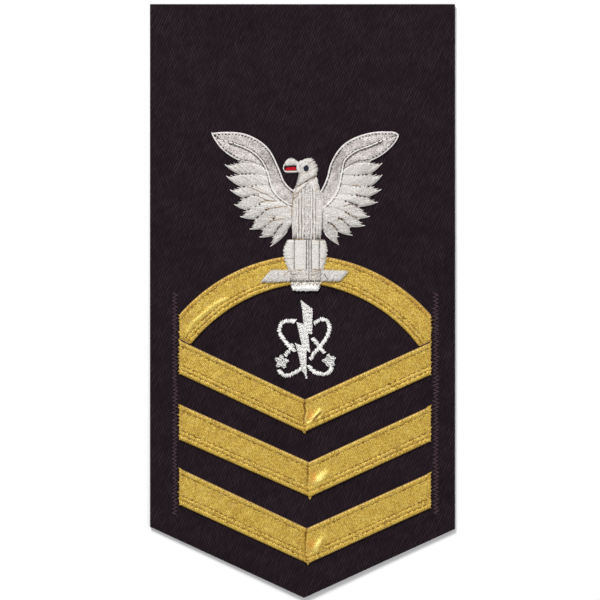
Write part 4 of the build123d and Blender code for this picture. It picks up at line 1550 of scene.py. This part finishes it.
BLOCK = [(-4.0, 10.15), (6.0, 10.15), (6.0, 6.4), (-4.0, 6.4)]
block_height = padded(BLOCK, LACE_SEAT + 0.12, 0.5, 1.0)
batches = [
    laid(BLOCK, 0, 0.36, 0.24, raised(block_height, -0.12), worn_bullion, 0.1),
    pebbles(BLOCK, 0.5, 0.8, 0.17, block_height, worn_bullion, slope=0.5),
]
for _ in range(9):
    x, y = luck.uniform(-3.6, 5.0), luck.choice([9.9, 9.6, 8.6])
    middle = (x + 0.5, y + luck.uniform(-0.2, 0.2))
    line = [(x, y), middle, (x + 1.0, y + luck.uniform(-0.3, 0.3))]
    batches.append(thread_line(line, 0.08, block_height, tan_thread, 0.2))
ties = []
for x in np.arange(-3.8, 5.9, 0.62):
    first = (x + luck.uniform(-0.15, 0.15), 6.75 + luck.uniform(-0.15, 0.2))
    last = (first[0] + luck.uniform(-0.25, 0.25), first[1] - luck.uniform(0.4, 0.75))
    pair = np.linspace(first, last, stitch.stations)
    ties.append(lifted(pair, block_height(pair) + 0.18))
thick = luck.uniform(0.07, 0.14, (len(ties), 1))
batches.append(lay(stitch, np.array(ties), thick, midrib_thread))
make_piece("perch_block_bullion", batches, ["perch_block"])

FOOT = [(-4.0, 6.25), (6.1, 6.25), (5.2, 3.4), (-3.1, 3.4)]
FOOT_BAND = [(-3.9, 6.25), (6.0, 6.25), (5.7, 5.1), (-3.6, 5.1)]
foot_height = padded(FOOT, SEAT + 0.45, 0.7, 0.9)
make_piece(
    "foot_purl",
    [
        laid(FOOT, 0, 0.36, 0.26, raised(foot_height, -0.14), floss, 0.1),
        pebbles(FOOT, 0.46, 0.7, 0.22, foot_height, floss, margin=0.05),
        pebbles(FOOT_BAND, 0.62, 0.6, 0.13, raised(foot_height, 0.16), seam_brown, margin=0.0),
    ],
    ["foot"],
)

# ---------------------------------------------------------------- mark

BOLT = np.array(
    [
        (-0.55, 0.3), (1.0, -0.85), (3.3, -2.5), (3.2, -6.0), (3.12, -10.95), (1.85, -10.55),
        (2.2, -14.2), (2.5, -16.85), (1.3, -16.1), (1.25, -19.0), (1.3, -22.0), (1.5, -25.2),
        (1.0, -25.1), (0.75, -23.9), (-0.2, -22.7), (-0.65, -20.9), (-1.0, -18.8), (-1.55, -16.6),
        (-2.4, -13.7), (-0.15, -14.45), (-0.6, -12.8), (-1.1, -10.3), (-1.95, -6.85), (0.4, -7.5),
        (0.15, -5.5), (-0.05, -3.3), (-0.42, -0.85),
    ]
)
ORBITS = [
    (
        "mark_orbit_left_upper",
        [
            (-2.5, -6.6), (-3.7, -6.55), (-5.2, -6.5), (-6.8, -7.3), (-7.45, -8.9), (-7.2, -10.7),
            (-6.3, -12.3), (-5.0, -13.9), (-3.7, -15.2), (-2.6, -16.3),
        ],
        [(-3.05, -14.3), (-4.2, -16.0), (-5.5, -17.7)],
    ),
    (
        "mark_orbit_right_upper",
        [
            (3.9, -7.4), (4.9, -6.5), (6.2, -5.95), (7.7, -6.2), (8.55, -7.3), (8.8, -8.9),
            (8.4, -10.6), (7.5, -12.4), (6.4, -14.0), (4.9, -15.7), (3.3, -17.7), (2.5, -18.8),
        ],
        [(3.4, -12.1), (5.3, -14.6), (7.0, -16.8)],
    ),
    (
        "mark_orbit_left_lower",
        [
            (-7.7, -22.5), (-7.0, -23.3), (-5.8, -24.15), (-4.4, -24.1), (-2.7, -23.4),
            (-1.3, -22.5),
            (-0.6, -22.2),
        ],
        [],
    ),
    (
        "mark_orbit_right_lower",
        [
            (1.9, -21.0), (2.8, -22.1), (4.0, -23.1), (5.5, -23.6), (7.1, -23.8), (8.5, -23.2),
            (9.4, -22.0), (9.5, -21.4),
        ],
        [],
    ),
]
STARS = [
    (
        "mark_star_left",
        (-6.75, -19.55),
        [(-8.8, -18.7), (-6.9, -17.5), (-4.3, -19.25), (-5.6, -21.7), (-8.3, -21.4)],
    ),
    (
        "mark_star_right",
        (8.85, -19.4),
        [(6.4, -19.2), (8.35, -17.2), (10.6, -18.2), (10.2, -21.0), (8.0, -21.2)],
    ),
]
bolt_height = padded(BOLT, SEAT + 0.15, 0.36, 0.7)


def seeded(outline, angle, pitch, size, radius, height, finish, overhang=0.1):
    """Short close stitches in broken rows over an outline, little gaps left between them."""
    starts, ends = hatch(outline, angle, pitch, overhang)
    lines = []
    for first, last in zip(starts, ends):
        total = np.linalg.norm(last - first)
        cuts = [0.0]
        while cuts[-1] < total:
            cuts.append(cuts[-1] + size * luck.uniform(0.6, 1.3) * (0.5 if len(cuts) == 1 else 1))
        cuts[-1] = total
        for begin, end in zip(cuts[:-1], cuts[1:]):
            if end - begin > 0.25:
                share = np.linspace(begin + 0.06, end - 0.1, stitch.stations) / total
                lines.append(first + (last - first) * share[:, None])
    lines = np.array(lines)
    dome = np.array([-0.09, 0.04, 0.04, -0.09]) + luck.uniform(-0.05, 0.05, (len(lines), 1))
    return lay(stitch, lifted(lines, height(lines) + dome), radius, finish, squash=0.75)


make_piece(
    "mark_bolt_floss",
    [
        seeded(BOLT, 64, 0.36, 1.5, 0.195, bolt_height, floss),
        laid(BOLT, 80, 0.6, 0.2, raised(bolt_height, -0.24), floss),
    ],
    ["mark_bolt"],
)


def satin(run, half_width, pitch, slant, lift=0.0):
    """Close stitches laid across a band."""
    fine = spaced(run, max(3, int(length_of(run) / pitch)))
    way, side = ways(fine)
    side = side + way * (slant + luck.uniform(-0.3, 0.3, (len(fine), 1)))
    wide = half_width * luck.uniform(0.72, 1.18, (2, len(fine), 1))
    lines = between(fine - side * wide[0], fine + side * wide[1], strand.stations)
    rise = SEAT + 0.12 + lift + 0.38 * swell(1 - np.abs(np.linspace(-1, 1, strand.stations)), 0.8)
    uneven = luck.uniform(-0.08, 0.08, (len(fine), 1))
    thick = luck.uniform(0.14, 0.22, (len(fine), 1))
    return lay(strand, lifted(lines, rise[None] + uneven), thick, floss, squash=0.8)


for name, run, arm in ORBITS:
    batches = [satin(curve(run, 80), 0.7, 0.42, 0.5)]
    if arm:
        batches.append(satin(curve(arm, 30), 0.7, 0.42, 0.35, lift=0.12))
    make_piece(f"{name}_floss", batches, [name])

for name, centre, arms in STARS:
    batches = []
    centre = np.array(centre)
    for tip in arms:
        arm = np.array(tip) - centre
        side = np.array([-arm[1], arm[0]]) / np.linalg.norm(arm)
        waist, end = centre + arm * 0.5, centre + arm
        kite = [
            centre, waist - side * 0.92, end - side * 0.34, end + side * 0.34, waist + side * 0.92
        ]
        angle = 66 + luck.uniform(-8, 8)
        arm_height = padded(kite, SEAT + 0.22, 0.3, 0.5)
        batches.append(seeded(kite, angle, 0.34, 1.1, 0.17, arm_height, floss, 0.2))
    make_piece(f"{name}_floss", batches, [name])

# ---------------------------------------------------------------- how it lies


def settle(piece):
    """Lets a piece follow the slight rise and fall of the cloth as it lies."""
    count = len(piece.data.vertices)
    places = np.zeros(count * 3, np.float32)
    piece.data.vertices.foreach_get("co", places)
    places = places.reshape(-1, 3)
    x, y = places[:, 0] / METRE, places[:, 1] / METRE
    lift = 0.3 * np.abs(y / GROUND_TOP) ** 6
    lift += 0.35 * np.abs(x / GROUND_HALF) ** 6 * (0.5 + 0.5 * np.sin(y / 26 + 0.8))
    lift += 0.07 * (1 + np.sin(x / 17 + 1.3) * np.sin(y / 23))
    places[:, 2] += lift * METRE
    piece.data.vertices.foreach_set("co", places.ravel())
    piece.data.update()


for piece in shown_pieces():
    if "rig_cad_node" not in piece:
        settle(piece)

# ---------------------------------------------------------------- studio

bpy.ops.object.select_all(action="DESELECT")
bpy.ops.mesh.primitive_plane_add(size=4)
floor = bpy.context.object
floor.name = "floor"
pale = Finish("pale_floor", base_color=(0.93, 0.93, 0.93, 1), roughness=0.9)
floor.data.materials.append(pale.material)
floor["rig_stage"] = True


def softbox(name, place, aim, size, power):
    """A large soft light."""
    data = bpy.data.lights.new(name, "AREA")
    data.energy = power
    data.shape = "RECTANGLE"
    data.size, data.size_y = size
    lamp = bpy.data.objects.new(name, data)
    lamp.location = place
    way = np.array(aim) - np.array(place)
    lamp.rotation_euler = Vector(way).to_track_quat("-Z", "Y").to_euler()
    bpy.context.scene.collection.objects.link(lamp)


softbox("key_light", (-0.25, 0.75, 0.75), (0, 0, 0), (0.4, 0.3), 11.0)
softbox("fill_light", (0.45, -0.5, 0.9), (0, 0, 0), (0.8, 0.8), 2.0)
world = bpy.data.worlds.new("studio")
world.use_nodes = True
world.node_tree.nodes["Background"].inputs["Color"].default_value = (1, 1, 1, 1)
world.node_tree.nodes["Background"].inputs["Strength"].default_value = 0.46
bpy.context.scene.world = world
bpy.context.scene.view_settings.view_transform = "Standard"

PICTURE_WIDTH, PIXEL = 600, 0.3244
MIDDLE_SHIFT = (-2.5, 1.0)
SCALE_HEIGHT = 1.8
LENS, SENSOR = 120.0, 36.0
camera_data = bpy.data.cameras.new("camera")
camera_data.lens = LENS
camera_data.sensor_width = SENSOR
camera_data.clip_start, camera_data.clip_end = 0.05, 10
camera = bpy.data.objects.new("camera", camera_data)
distance = PICTURE_WIDTH * PIXEL * LENS / SENSOR
camera.location = (
    MIDDLE_SHIFT[0] * PIXEL * METRE,
    MIDDLE_SHIFT[1] * PIXEL * METRE,
    (SCALE_HEIGHT + distance) * METRE,
)
bpy.context.scene.collection.objects.link(camera)
bpy.context.scene.camera = camera

low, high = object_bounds()
